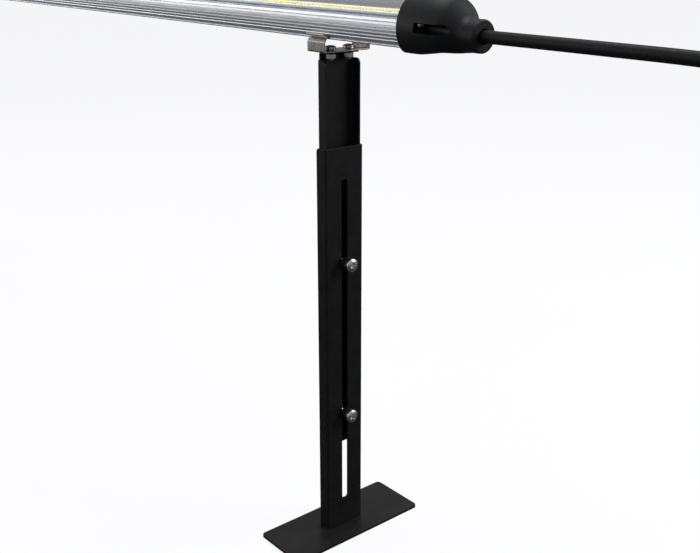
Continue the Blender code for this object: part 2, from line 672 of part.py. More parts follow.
def make_leads():
    """The stripped cable end to the terminal block, and the lead from the driver to the board."""
    terminal_end = TERMINAL_X + TERMINAL_LENGTH / 2
    floor = BAR_Z + TUBE_BOTTOM + TUBE_WALL + GAP
    middle = floor + TERMINAL_HEIGHT / 2
    cable_z = BAR_Z - COLLAR_DROP
    cable_end = RIM_X + CAP_LENGTH - CABLE_INSIDE
    span = cable_end - terminal_end
    lead = [(terminal_end + GAP, 0.0, middle), (terminal_end + 0.2 * span, 0.0, middle + 0.3 * MM),
            (terminal_end + 0.5 * span, 0.0, (middle + cable_z) / 2),
            (terminal_end + 0.8 * span, 0.0, cable_z - 0.3 * MM), (cable_end - GAP, 0.0, cable_z)]
    add("input_lead", tube_along(lead, INPUT_LEAD, 8 * MM), BLACK_RUBBER)
    tube_end = TUBE_LENGTH / 2
    driver_end = DRIVER_X + DRIVER_LENGTH / 2
    board_top = BAR_Z + PLATFORM_TOP + GAP + BOARD_THICKNESS
    low = BAR_Z - 3.0 * MM
    out = 9.0 * MM
    top = board_top + BOARD_LEAD / 2 + GAP
    loop = [(driver_end + GAP, out, low), ((driver_end + tube_end) / 2, out, low),
            (tube_end - 8 * MM, out, low),
            (tube_end + 3 * MM, 0.9 * out, low + 1.0 * MM),
            (tube_end + 8 * MM, 0.65 * out, BAR_Z + 2.5 * MM),
            (tube_end + 6 * MM, 0.3 * out, BAR_Z + 7.5 * MM), (tube_end + 1 * MM, 0.0, top + 0.3 * MM),
            (tube_end - 6 * MM, 0.0, top), (tube_end - BOARD_MARGIN - 6 * MM, 0.0, top)]
    add("board_lead", tube_along(loop, BOARD_LEAD, 10 * MM, 1), BLACK_RUBBER)


def cap_ring(x, radius, bottom, centre, steps=FINE):
    """A round section with a flattened underside, blended where they meet."""
    sharpness = 14
    ring = []
    for k in range(steps):
        angle = 2 * math.pi * k / steps
        flat = max(0.0, -math.sin(angle)) / bottom
        reach = (radius ** -sharpness + flat ** sharpness) ** (-1 / sharpness)
        ring.append((x, reach * math.cos(angle), centre + reach * math.sin(angle)))
    return ring


def cap_sections():
    """The cap's outside: a rim, a dome that pulls in, and a collar lower than the bar's axis."""
    drop = COLLAR_DROP
    full = CAP_RADIUS
    under = CAP_BOTTOM
    collar = COLLAR_RADIUS
    rows = [
        (0.0, full - 0.5 * MM, under - 0.5 * MM, 0.0),
        (0.5 * MM, full, under, 0.0),
        (14.0 * MM, full, under, 0.0),
        (20.0 * MM, full - 0.2 * MM, under - 0.8 * MM, 0.0),
        (26.8 * MM, full - 0.6 * MM, under - 1.8 * MM, 0.0),
        (32.8 * MM, full - 1.5 * MM, under - 2.8 * MM, 0.0),
        (36.8 * MM, full - 2.6 * MM, under - 3.4 * MM, -0.1 * drop),
        (40.3 * MM, full - 4.5 * MM, under - 3.8 * MM, -0.2 * drop),
        (43.3 * MM, full - 7.2 * MM, under - 4.0 * MM, -0.35 * drop),
        (46.3 * MM, full - 10.0 * MM, under - 4.2 * MM, -0.5 * drop),
        (49.3 * MM, collar + 1.7 * MM, under - 4.4 * MM, -0.75 * drop),
        (52.3 * MM, collar + 0.5 * MM, under, -0.95 * drop),
        (55.3 * MM, collar, under, -drop),
        (CAP_LENGTH - 1.0 * MM, collar, under, -drop),
        (CAP_LENGTH - 0.3 * MM, collar - 0.3 * MM, under, -drop),
        (CAP_LENGTH, collar - 1.0 * MM, under, -drop),
    ]
    return [cap_ring(*row) for row in rows]


def tube_pocket():
    """The tube's outside with clearance, as the cap's pocket."""
    reach = math.hypot(RAIL_EDGE, TUBE_BOTTOM + RAIL_CHAMFER) + GAP
    low = math.degrees(math.asin((TUBE_BOTTOM - GAP) / reach))
    return arc((0, 0), reach, low, 180 - low, FINE)


def make_cap(side, end):
    """Moulded end cap over the tube's end, with a gasket behind it and two screws."""
    cap = add(side + "_end_cap", loft(cap_sections()), BLACK_PLASTIC, parent=end)
    pocket = CAP_OVERLAP + GAP + GASKET + GAP
    seal_pocket = (SEAL_DIAMETER / 2) + GAP

    def bore(radius, start, stop, drop):
        cut(cap, outline([circle((0.0, 0.0), radius, FINE)], stop - start),
            ((start + stop) / 2, 0.0, -drop), ALONG_X)

    cut(cap, outline([tube_pocket()], pocket + CUT_OVERRUN), ((pocket - CUT_OVERRUN) / 2, 0.0, 0.0), ALONG_X)
    bore(CAVITY_RADIUS, pocket - CUT_OVERRUN, CAVITY_END, -CAVITY_RISE)
    bore(seal_pocket, CAVITY_END - CUT_OVERRUN, SEAL_END, COLLAR_DROP)
    bore(EXIT_DIAMETER / 2, SEAL_END - CUT_OVERRUN, CAP_LENGTH + CUT_OVERRUN, COLLAR_DROP)
    floor = pocket + CAP_WEB
    half = M3_HEAD / 2 + RECESS_PLAY
    for out in (-1, 1):
        cut(cap, outline([circle((0.0, 0.0), (M3 + BORE_PLAY) / 2, 12)], pocket + CAP_WEB),
            (floor, out * PORT_OUT, PORT_UP), ALONG_X)
        inner = PORT_OUT - half
        depth = 2 * CAP_RADIUS
        cut(cap, box((CAP_LENGTH, depth, 2 * half)),
            (floor + CAP_LENGTH / 2, out * (inner + depth / 2), PORT_UP))

    hole = [(y * GASKET_HOLE[0], z * GASKET_HOLE[1]) for y, z in tube_pocket()]
    ports = [circle((out, PORT_UP), (M3 + BORE_PLAY) / 2, 10) for out in (-PORT_OUT, PORT_OUT)]
    shrink = 1 - GAP / TUBE_RADIUS
    rim = [(y * shrink, z * shrink) for y, z in tube_pocket()]
    add(side + "_gasket", outline([rim, hole, *ports], GASKET), GREY_RUBBER, parent=end,
        place=(CAP_OVERLAP + GAP + GASKET / 2, 0.0, 0.0), turn=ALONG_X)
    for place, out in (("front", -PORT_OUT), ("rear", PORT_OUT)):
        turned_out = out if side == "near" else -out
        screw = make_cap_screw(f"{side}_{place}_cap_screw", end, (floor + GAP, turned_out, PORT_UP))
        cross_recess(screw, M3_HEAD_HEIGHT, M3_HEAD, 0.9 * MM)


def make_cap_screw(name, end, place):
    """A small screw whose thinner tail runs into the housing's screw port."""
    head = M3_HEAD / 2
    height = M3_HEAD_HEIGHT
    shoulder = CAP_WEB + 2 * GAP + GASKET
    profile = [(0.0, height), (0.55 * head, 0.93 * height), (0.85 * head, 0.7 * height),
               (head, 0.35 * height), (head, 0.0), (M3 / 2, 0.0), (M3 / 2, -shoulder),
               (PORT_SCREW / 2, -shoulder - 0.4 * MM), (PORT_SCREW / 2, 1 * MM - M3_LENGTH),
               (0.0, -M3_LENGTH)]
    return add_turned(name, turned(profile, 16), STAINLESS, parent=end, place=place, turn=AXIS_X)


def make_caps():
    """Both ends of the bar use the same cap. The far one is closed with a blind plug."""
    near = empty("near_end", (RIM_X, 0.0, BAR_Z))
    far = empty("far_end", (-RIM_X, 0.0, BAR_Z), (0.0, 0.0, math.pi))
    make_cap("near", near)
    make_cap("far", far)
    seal_start = CAVITY_END + GAP
    seal_length = SEAL_END - GAP - seal_start
    middle = seal_start + seal_length / 2
    outer = circle((0.0, 0.0), SEAL_DIAMETER / 2)
    bore = circle((0.0, 0.0), CABLE / 2 + GAP)
    add("cable_seal", outline([outer, bore], seal_length), BLACK_RUBBER, parent=near,
        place=(middle, 0.0, -COLLAR_DROP), turn=ALONG_X)
    stem = EXIT_DIAMETER / 2 - GAP
    profile = [(0.0, CAP_LENGTH - 1.5 * MM), (stem - 0.8 * MM, CAP_LENGTH - 1.5 * MM),
               (stem, CAP_LENGTH - 2.3 * MM), (stem, SEAL_END - GAP),
               (SEAL_DIAMETER / 2, SEAL_END - GAP), (SEAL_DIAMETER / 2, seal_start), (0.0, seal_start)]
    add_turned("blind_plug", turned(profile), BLACK_RUBBER, parent=far,
               place=(0.0, 0.0, -COLLAR_DROP), turn=AXIS_X)


def coil_profile():
    """Section of the coil: two turns side by side on the floor and one on top of them."""
    radius = CABLE / 2
    low = COIL_FLOOR + radius
    high = low + math.sqrt(3) * radius
    inner = COIL_RADIUS - radius
    outer = COIL_RADIUS + radius
    section = arc((COIL_RADIUS, high), radius, 150, 30, 3)
    section += arc((outer, low), radius, 30, -90, 3)
    section += arc((inner, low), radius, -90, -210, 3)
    return section


def make_plug():
    """Moulded plug lying on the floor: a tapered strain relief that grows into the body."""
    axis = PLUG_HEIGHT / 2
    plug = empty("plug", (*PLUG_REAR, axis), (0.0, 0.0, math.pi / 2))
    start = CABLE / 2 + 0.9 * MM
    rows = [(0.0, start, start, 2.0), (0.5 * PLUG_TAPER, start + 0.8 * MM, start + 0.8 * MM, 2.0),
            (PLUG_TAPER, start + 1.8 * MM, start + 1.8 * MM, 2.0),
            (PLUG_TAPER + 3 * MM, 0.85 * PLUG_WIDTH / 2, 0.85 * PLUG_HEIGHT / 2, 3.0),
            (PLUG_TAPER + 6 * MM, PLUG_WIDTH / 2, PLUG_HEIGHT / 2, 4.0),
            (PLUG_TAPER + PLUG_LENGTH - 1 * MM, PLUG_WIDTH / 2, PLUG_HEIGHT / 2, 4.0),
            (PLUG_TAPER + PLUG_LENGTH, PLUG_WIDTH / 2 - 1 * MM, PLUG_HEIGHT / 2 - 1 * MM, 4.0)]
    rings = []
    for x, wide, high, power in rows:
        ring = []
        for k in range(ROUND):
            c = math.cos(2 * math.pi * k / ROUND)
            s = math.sin(2 * math.pi * k / ROUND)
            ring.append((x, wide * math.copysign(abs(c) ** (2 / power), c),
                         high * math.copysign(abs(s) ** (2 / power), s)))
        rings.append(ring)
    add("plug_body", loft(rings), BLACK_RUBBER, parent=plug)
    face = PLUG_TAPER + PLUG_LENGTH + GAP
    thick, long, wide = BLADE
    for place, out in (("left", BLADE_SPACING / 2), ("right", -BLADE_SPACING / 2)):
        add(place + "_plug_blade", box((long, thick, wide), 0.3 * MM, 1), BRASS, parent=plug,
            place=(face + long / 2, out, BLADE_RISE))
    pin = GROUND_PIN / 2
    profile = [(0.0, GROUND_LENGTH), (0.6 * pin, GROUND_LENGTH - 0.4 * MM),
               (pin, GROUND_LENGTH - 2 * MM), (pin, 0.0), (0.0, 0.0)]
    add_turned("plug_ground_pin", turned(profile, 16), BRASS, parent=plug,
               place=(face, 0.0, -GROUND_DROP), turn=AXIS_X)


def make_cable():
    """The power cable: out of the near cap, down to the floor, a coil, and the plug."""
    add("cable", tube_along(CABLE_ROUTE, CABLE, 2.5 * CABLE, 3), BLACK_RUBBER)
    add_turned("cable_coil", turned(coil_profile(), 36, ring=True), BLACK_RUBBER,
               place=(*COIL_CENTRE, 0.0))
    add("cable_tail", tube_along(TAIL_ROUTE, CABLE, CABLE, 3), BLACK_RUBBER)
    make_plug()


make_stand("near", (STAND_SPACING / 2, 0.0, 0.0), (0.0, 0.0, 0.0))
make_stand("far", (-STAND_SPACING / 2, 0.0, 0.0), (0.0, 0.0, math.pi))
make_light_bar()
make_leads()
make_caps()
make_cable()
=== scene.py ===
"""Under-canopy light bar on two height-adjustable stands: every piece with its finish."""
import math

import bmesh
import bpy
from bpy.props import FloatProperty, FloatVectorProperty, IntProperty, PointerProperty
from mathutils import Matrix, Vector
from mathutils.geometry import tessellate_polygon


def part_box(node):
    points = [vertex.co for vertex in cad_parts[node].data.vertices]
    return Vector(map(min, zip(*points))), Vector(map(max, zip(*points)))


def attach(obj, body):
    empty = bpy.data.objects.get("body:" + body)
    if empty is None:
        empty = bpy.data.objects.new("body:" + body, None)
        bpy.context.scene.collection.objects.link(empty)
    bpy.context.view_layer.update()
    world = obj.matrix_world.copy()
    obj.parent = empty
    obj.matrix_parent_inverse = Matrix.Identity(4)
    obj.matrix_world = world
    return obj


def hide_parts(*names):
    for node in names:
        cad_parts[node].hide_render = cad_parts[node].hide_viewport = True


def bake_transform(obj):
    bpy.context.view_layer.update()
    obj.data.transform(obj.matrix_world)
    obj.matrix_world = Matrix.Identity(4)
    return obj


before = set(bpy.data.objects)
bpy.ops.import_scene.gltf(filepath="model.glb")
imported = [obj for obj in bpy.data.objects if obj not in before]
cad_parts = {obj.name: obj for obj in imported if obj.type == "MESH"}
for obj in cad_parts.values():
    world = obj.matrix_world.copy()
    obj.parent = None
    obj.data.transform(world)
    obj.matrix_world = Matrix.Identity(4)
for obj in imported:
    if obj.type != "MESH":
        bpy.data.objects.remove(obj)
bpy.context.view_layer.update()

bl_info = {
    "name": "Light Bar on Stands",
    "version": (1, 0, 0),
    "blender": (4, 5, 0),
    "location": "View3D > Sidebar > Light Bar",
    "description": "Builds a light bar that two height-adjustable stands hold over the floor",
    "category": "Add Mesh",
}

MM = 0.001
GAP = 0.3 * MM


def mm(*sizes):
    """These millimetres in metres."""
    return tuple(size * MM for size in sizes)


# Places read from the frame
FACE_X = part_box("near_outer_channel")[1].x       # slotted face of the near stand
PLATE_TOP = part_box("near_foot_plate")[1].z
POST_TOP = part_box("near_outer_channel")[1].z
SLIDER_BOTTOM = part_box("near_inner_channel")[0].z
TAB_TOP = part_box("near_inner_channel")[1].z
BAR_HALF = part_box("housing")[1].x
RIM_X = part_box("near_end_cap")[0].x
BOARD_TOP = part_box("led_board")[1].z

# Stand
SHEET = 1.5 * MM
CHANNEL_WIDTH = 42.0 * MM
CHANNEL_DEPTH = 12.4 * MM
CHANNEL_BEND = 1.3 * MM
CHANNEL_CORNER = 3.0 * MM
SLOT_WIDTH = 6.6 * MM
SLOT_BOTTOM = 27.2 * MM
SLOT_TOP_MARGIN = 28.1 * MM
PLATE_LENGTH = 150.0 * MM
PLATE_WIDTH = 59.0 * MM
PLATE_CORNER = 4.0 * MM
FLANGE = 363.1 * MM
SLIDER_CORNER = 4.5 * MM
TAB_RISE = 6.8 * MM
TAB_REACH = 10.8 * MM
TAB_BEND = 1.6 * MM
SLIDER_FRONT = SHEET + GAP
SLIDER_HALF = CHANNEL_WIDTH / 2 - SHEET - GAP
LOWER_SCREW = SLIDER_BOTTOM + 37.0 * MM
UPPER_SCREW = LOWER_SCREW + 148.3 * MM
BUSH_LENGTH = 6.4 * MM
BUSH_DIAMETER = 11.6 * MM

# Screws: shank, head, head's height, dome, pitch and recess's depth. Nuts: flats, height and bore
M6_SCREW = mm(6.0, 12.5, 5.9, 2.4, 1.0, 2.0)
M6_NUT = mm(10.0, 5.2, 6.6)
M6_TAIL = 1.2 * MM
M6_HOLE = 3.3 * MM           # radius
M5_SCREW = mm(5.0, 9.5, 3.7, 1.7, 0.8, 1.5)
M5_NUT = mm(8.0, 4.6, 5.6)
M5_TAIL = 1.0 * MM
M5_HOLE = 2.8 * MM           # radius

# Light bar, heights from its axis
TUBE_RADIUS = 23.6 * MM
TUBE_BOTTOM = -14.8 * MM
BAR_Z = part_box("housing")[0].z - TUBE_BOTTOM
TUBE_WALL = 1.8 * MM
LIP_HEIGHT = 6.0 * MM
PLATFORM_TOP = 7.1 * MM
PLATFORM_HALF = TUBE_RADIUS - 9.1 * MM
COVER_GROOVE = 2.5 * MM
GROOVE_FLOOR = 3.0 * MM
COVER_WALL = 1.6 * MM
PORT_OUT = TUBE_RADIUS - 3.9 * MM
PORT_UP = 3.2 * MM
NECK_TOP = -12.1 * MM
RAIL_TOP = -14.3 * MM
NECK = math.sqrt(TUBE_RADIUS ** 2 - NECK_TOP ** 2)
RAIL_EDGE = NECK + 0.5 * MM
LED_OUT = 4.0 * MM
LED_FRAME = 0.28 * MM
RIB_COUNT = 6
RIB_PITCH = 6.6              # degrees
RIB_FIRST = 8.0              # degrees above the axis
RIB_GROOVE = 1.0 * MM
RIB_DEPTH = 0.5 * MM

# Clip, heights from its underside
CLIP_SHEET = 1.0 * MM
CLIP_LENGTH = 22.6 * MM
CLIP_SETBACK = 7.0 * MM
CLIP_SCREW_OUT = 9.75 * MM
CLIP_SCREW_SETBACK = 6.3 * MM
CLIP_BASE = TAB_TOP + GAP
CLIP_ARM = 8.6 * MM
CLIP_BEND = 1.0 * MM
CLIP_HOOK = 0.1 * MM         # waist's inside behind the rail's edge
CLIP_PINCH = 3.75 * MM       # arm's outside beyond the waist's inside
WAIST_CORNER = 0.6 * MM      # from the waist's bend to where its two sides would meet
WAIST_Z = 13.3 * MM
LIP_FLARE = 4.8 * MM
LIP_RISE = 1.7 * MM

# End caps, lengths from the rim outwards
CAP_OVERLAP = 12.0 * MM
CAP_LENGTH = 64.4 * MM
CAP_RADIUS = 26.0 * MM
CAP_BOTTOM = 19.2 * MM
COLLAR_RADIUS = 12.0 * MM
COLLAR_DROP = 3.2 * MM
SEAL_END = 58.2 * MM
CAVITY_END = 35.8 * MM
EXIT_DIAMETER = 11.6 * MM
CAP_POCKET = CAP_OVERLAP + 2 * GAP + 1.5 * MM   # for the tube and its gasket
CAP_FLOOR = CAP_POCKET + 5.3 * MM               # seat of the cap's screws
RECESS_DRAFT = 0.08
# Cap's outline beyond its rim: place, how much its radius and its underside have shrunk, all in
# millimetres, and the part of the collar's drop
CAP_OUTLINE = (
    (14.0, 0.0, 0.0, 0.0), (20.0, 0.2, 0.8, 0.0), (26.8, 0.6, 1.8, 0.0), (32.8, 1.5, 2.8, 0.0),
    (36.8, 2.6, 3.4, 0.1), (40.3, 4.5, 3.8, 0.2), (43.3, 7.2, 4.0, 0.35), (46.3, 10.0, 4.2, 0.5),
    (49.3, 12.3, 4.4, 0.75), (52.3, 13.5, 0.0, 0.95), (55.3, 14.0, 0.0, 1.0),
)

# Power cable and coil, in metres
HANGING_ROUTE = (
    (0.7254, 0.000, 0.4778), (0.7524, 0.000, 0.4778), (0.8000, 0.000, 0.4778),
    (0.8600, 0.000, 0.4777), (0.9150, 0.000, 0.4774), (0.9450, 0.000, 0.4759),
    (0.9700, 0.000, 0.4695), (0.9920, 0.000, 0.4556), (1.0070, 0.000, 0.4327),
    (1.0145, 0.000, 0.4030), (1.0175, 0.000, 0.3600), (1.0185, 0.000, 0.3000),
    (1.0185, 0.000, 0.2300), (1.0185, 0.000, 0.1600), (1.0183, 0.000, 0.1050),
    (1.0178, -0.001, 0.0700), (1.0168, -0.007, 0.0390), (1.0152, -0.020, 0.0160),
    (1.0135, -0.036, 0.0062),
)
TAIL_ROUTE = (
    (0.9002, -0.0330, 0.0138), (0.8990, -0.0200, 0.0128), (0.8972, -0.0060, 0.0114),
    (0.8962, 0.0020, 0.0107), (0.8960, 0.0097, 0.0105),
)
COIL_CENTRE = Vector((0.955, -0.070, 0.0))
OUTER_TURN = 56.7 * MM
INNER_TURN = 47.3 * MM
TOP_TURN = 52.0 * MM
FLOOR_TURN_Z = 4.9 * MM
TOP_TURN_Z = 13.1 * MM
TIE_ANGLE = -90.0
CROSS_RISE = 1.5 * MM
# Angles along the coil where it has settled, turns inwards, climbs, crosses over and leaves
FLOOR_ANGLE = -15
INWARD_ANGLE = -290
CLIMB_ANGLE = -590
CROSS_ANGLE = -680
LEAVE_ANGLE = -870
PLUG_REAR = Vector((0.896, 0.010, 0.0105))

# Axes: a flat outline's X, Y and thickness to the world's Y, Z and X; a turned piece's axis to +X
ALONG_X = Matrix(((0, 0, 1, 0), (1, 0, 0, 0), (0, 1, 0, 0), (0, 0, 0, 1)))
AXIS_X = Matrix.Rotation(math.pi / 2, 4, "Y")
HALF_TURN = Matrix.Rotation(math.pi, 4, "Y")
SIDES = {"near": Matrix.Identity(4), "far": Matrix.Rotation(math.pi, 4, "Z")}


def length_setting(name, description, default, low, high):
    return FloatProperty(name=name, description=description, default=default * MM, min=low * MM,
                         max=high * MM, unit="LENGTH", precision=5)


def colour_setting(name, description, default):
    return FloatVectorProperty(name=name, description=description, subtype="COLOR",
                               default=default, min=0.0, max=1.0)


class LightBarSizes(bpy.types.PropertyGroup):
    """Fine sizes that can change without moving any piece."""

    edge_radius: length_setting("Sheet edge", "Radius on the edges of cut sheet metal", 0.3, 0.05, 0.6)
    led_pitch: length_setting("LED pitch", "Distance from one LED to the next in its row", 4.0, 3.5, 20.0)
    led_size: length_setting("LED size", "Side of one square LED package", 3.0, 1.5, 3.0)
    cable_diameter: length_setting("Cable diameter", "Outside of the round power cable", 9.4, 5.0, 9.4)
    points_per_turn: IntProperty(
        name="Points per turn", description="Points that each turn of the cable's coil has",
        default=36, min=12, max=96)
    weld_leg: length_setting("Weld leg", "Leg of the weld between the post and its plate", 2.0, 1.0, 4.0)


class LightBarColours(bpy.types.PropertyGroup):
    """Base colours of the finishes."""

    coat: colour_setting("Powder coat", "Colour of the stands", (0.0104, 0.0099, 0.0096))
    steel: colour_setting("Stainless steel", "Colour of the clip and the screws", (0.60, 0.565, 0.52))
    aluminium: colour_setting("Aluminium", "Colour of the bar's housing", (0.77, 0.78, 0.81))
    cover: colour_setting("Cover", "Tint of the clear cover", (0.90, 0.91, 0.95))
    board: colour_setting("Board", "Colour of the LED board", (0.86, 0.87, 0.90))
    phosphor: colour_setting("Phosphor", "Colour of the LEDs' phosphor", (0.74, 0.77, 0.27))
    plastic: colour_setting("Moulded plastic", "Colour of the caps and bushes", (0.0055, 0.0062, 0.0075))
    rubber: colour_setting("Rubber", "Colour of the cable and the seals", (0.009, 0.009, 0.0095))


# Finishes

def grain(tree, scale, detail=2.0, stretch=(1.0, 1.0, 1.0)):
    """Noise in the piece's own metres, drawn out along the axes with a small stretch."""
    place = tree.nodes.new("ShaderNodeTexCoord")
    mapping = tree.nodes.new("ShaderNodeMapping")
    mapping.inputs["Scale"].default_value = stretch
    noise = tree.nodes.new("ShaderNodeTexNoise")
    noise.inputs["Scale"].default_value = scale
    noise.inputs["Detail"].default_value = detail
    tree.links.new(place.outputs["Object"], mapping.inputs["Vector"])
    tree.links.new(mapping.outputs["Vector"], noise.inputs["Vector"])
    return noise.outputs["Fac"]


def shades(colour, spread):
    """A darker and a lighter shade of a colour."""
    return [c * (1 - spread) for c in colour], [min(1.0, c * (1 + spread)) for c in colour]


def finish(name, colour, roughness, tint, polish=None, relief=None, metallic=0.0, specular=0.5,
           others=None):
    """A material with grains. Tint: grain and the colour's spread or its two shades. Polish: grain
    and the lowest and highest roughness. Relief: grain, strength and depth in millimetres."""
    material = bpy.data.materials.new(name)
    material.use_nodes = True
    tree = material.node_tree
    shader = tree.nodes["Principled BSDF"]
    values = {"Base Color": (*colour, 1.0), "Roughness": roughness, "Metallic": metallic,
              "Specular IOR Level": specular, **(others or {})}
    for socket, value in values.items():
        shader.inputs[socket].default_value = value
    if tint:
        source, change = tint
        pair = change if isinstance(change, tuple) else shades(colour, change)
        ramp = tree.nodes.new("ShaderNodeValToRGB")
        for element, position, shade in zip(ramp.color_ramp.elements, (0.3, 0.7), pair):
            element.position = position
            element.color = (*shade, 1.0)
        tree.links.new(grain(tree, *source), ramp.inputs["Fac"])
        tree.links.new(ramp.outputs["Color"], shader.inputs["Base Color"])
    if polish:
        source, low, high = polish
        span = tree.nodes.new("ShaderNodeMapRange")
        for socket, value in (("From Min", 0.3), ("From Max", 0.7), ("To Min", low), ("To Max", high)):
            span.inputs[socket].default_value = value
        tree.links.new(grain(tree, *source), span.inputs["Value"])
        tree.links.new(span.outputs["Result"], shader.inputs["Roughness"])
    if relief:
        source, strength, depth = relief
        bump = tree.nodes.new("ShaderNodeBump")
        bump.inputs["Strength"].default_value = strength
        bump.inputs["Distance"].default_value = depth * MM
        tree.links.new(grain(tree, *source), bump.inputs["Height"])
        tree.links.new(bump.outputs["Normal"], shader.inputs["Normal"])
    return material


def powder_coat(colours):
    """Black powder coat: fine orange peel with a soft, low sheen."""
    return finish("fine_powder_coat", colours.coat, 0.42, ((60,), 0.25), ((240,), 0.36, 0.48),
                  ((1700, 3.0), 0.30, 0.08), specular=0.22)


def brushed_steel(colours):
    """Stainless sheet, brushed along its length."""
    streaks = (1500, 3.0, (1.0, 0.04, 0.04))
    return finish("brushed_stainless", [0.8 * part for part in colours.steel], 0.3, (streaks, 0.12),
                  ((500, 2.0, (1.0, 0.08, 0.08)), 0.22, 0.38), (streaks, 0.15, 0.03),
                  metallic=1.0, others={"Anisotropic": 0.35})


def turned_steel(colours):
    """Stainless screws and nuts: smoother, with faint marks."""
    return finish("turned_stainless", colours.steel, 0.26, ((700,), 0.08), ((1400, 3.0), 0.2, 0.33),
                  ((2600,), 0.08, 0.02), metallic=1.0)


def drawn_aluminium(colours):
    """Extruded aluminium with die lines along the bar under a thin clear anodising."""
    lines = (1300, 4.0, (0.004, 1.0, 1.0))
    return finish("extruded_aluminium", colours.aluminium, 0.33, (lines, 0.1),
                  ((420, 3.0, (0.01, 1.0, 1.0)), 0.27, 0.42), (lines, 0.12, 0.02),
                  metallic=1.0, others={"Anisotropic": 0.4})


def clear_plastic(colours):
    """Clear polycarbonate with a faint cool tint."""
    return finish("clear_polycarbonate", colours.cover, 0.08, None,
                  ((90, 2.0, (0.02, 1.0, 1.0)), 0.02, 0.08),
                  others={"Transmission Weight": 1.0, "IOR": 1.5})


def solder_mask(colours):
    """White solder mask on the board, slightly uneven."""
    return finish("white_solder_mask", colours.board, 0.45, ((300,), 0.06), ((800,), 0.36, 0.55),
                  ((1600,), 0.1, 0.03))


def led_frame(colours):
    """White moulded frame of an LED package."""
    pale = [min(1.0, 1.2 * part) for part in colours.board]
    return finish("led_frame", pale, 0.5, ((900,), 0.05))


def phosphor_with_painted_glow(colours):
    """Yellow phosphor under clear silicone, with a painted glow: a faint emission in its own colour,
    though the LEDs are not lit.
    """
    return finish("yellow_phosphor_painted_glow", colours.phosphor, 0.3, ((1300,), 0.08), ((1800,), 0.24, 0.4),
                  # Emission in the phosphor's colour: a painted glow that brightens the unlit LEDs
                  others={"Emission Color": (*colours.phosphor, 1.0), "Emission Strength": 0.35})


def moulded_plastic(colours):
    """Black moulded plastic with a fine spark-eroded skin."""
    return finish("moulded_black_plastic", colours.plastic, 0.50, ((120,), 0.15),
                  ((500,), 0.43, 0.56), ((2600, 3.0), 0.18, 0.05), specular=0.26)


def cable_rubber(colours):
    """Black rubber jacket with a low sheen."""
    return finish("black_cable_rubber", colours.rubber, 0.50, ((150,), 0.2), ((350,), 0.44, 0.58),
                  ((1500, 3.0), 0.2, 0.05), specular=0.2)


def seal_rubber(colours):
    """Grey silicone for the gaskets."""
    return finish("grey_silicone", (0.2, 0.2, 0.21), 0.6,
                  ((500,), ((0.18, 0.18, 0.19), (0.23, 0.23, 0.24))), ((900,), 0.5, 0.7))


def driver_enamel(colours):
    """Off-white shell of the driver and the terminal block."""
    return finish("driver_shell", (0.74, 0.74, 0.72), 0.5,
                  ((200,), ((0.70, 0.70, 0.68), (0.78, 0.78, 0.76))), ((900,), 0.42, 0.58),
                  ((1500,), 0.12, 0.04))


def contact_brass(colours):
    """Plain brass of the plug's contacts, with rubbed streaks."""
    return finish("contact_brass", (0.78, 0.62, 0.33), 0.28,
                  ((900, 3.0, (1.0, 0.1, 1.0)), ((0.70, 0.54, 0.27), (0.84, 0.68, 0.38))),
                  ((1200, 3.0, (1.0, 0.08, 1.0)), 0.2, 0.38), metallic=1.0)


def woven_tie(colours):
    """Black hook-and-loop strap."""
    weave = (1500, 4.0, (1.0, 0.5, 1.0))
    return finish("woven_strap", (0.014, 0.014, 0.016), 0.85,
                  (weave, ((0.009, 0.009, 0.010), (0.024, 0.024, 0.027))), None,
                  (weave, 0.6, 0.15), specular=0.2, others={"Sheen Weight": 0.3})


def stage_paper(colours):
    """Pale glowing table and backdrop, which hardly take a shadow."""
    return finish("pale_backdrop", (0.12, 0.12, 0.122), 0.9,
                  ((3.0,), ((0.117, 0.117, 0.119), (0.123, 0.123, 0.125))), specular=0.0,
                  others={"Emission Color": (0.985, 0.987, 1.0, 1.0), "Emission Strength": 0.87})


def material_of(make):
    """The material a finish function makes, made once."""
    if not hasattr(material_of, "made"):
        material_of.made = {}
    if make not in material_of.made:
        material_of.made[make] = make(bpy.context.scene.light_bar_colours)
    return material_of.made[make]


# Outlines and solids

def arc(centre, radius, start, end, steps):
    """Points on an arc, angles in degrees."""
    angles = [math.radians(start + (end - start) * i / steps) for i in range(steps + 1)]
    return [(centre[0] + radius * math.cos(a), centre[1] + radius * math.sin(a)) for a in angles]


def circle(centre, radius, steps=40):
    return arc(centre, radius, 0, 360, steps)[:-1]


def rounded(corners, radius, steps=8, closed=False):
    """The path through these corners, with each turn replaced by an arc of this radius."""
    points = [Vector(corner) for corner in corners]
    count = len(points)
    path = []
    for i, corner in enumerate(points):
        if not closed and i in (0, count - 1):
            path.append(corner)
            continue
        before = (points[i - 1] - corner).normalized()
        after = (points[(i + 1) % count] - corner).normalized()
        half = before.angle(after) / 2
        reach = radius / math.tan(half)
        middle = corner + (before + after).normalized() * (radius / math.sin(half))
        first = (corner + before * reach - middle).normalized()
        last = (corner + after * reach - middle).normalized()
        for k in range(steps + 1):
            path.append(middle + first.slerp(last, k / steps) * radius)
    return path


def rectangle(low, high, corner, steps):
    """Flat outline with rounded corners between its lowest and its highest corner."""
    (x0, y0), (x1, y1) = low, high
    path = rounded([(x0, y0, 0), (x1, y0, 0), (x1, y1, 0), (x0, y1, 0)], corner, steps, closed=True)
    return [(p.x, p.y) for p in path]


def to_mesh(solid, name):
    bmesh.ops.recalc_face_normals(solid, faces=solid.faces)
    mesh = bpy.data.meshes.new(name)
    solid.to_mesh(mesh)
    solid.free()
    return mesh


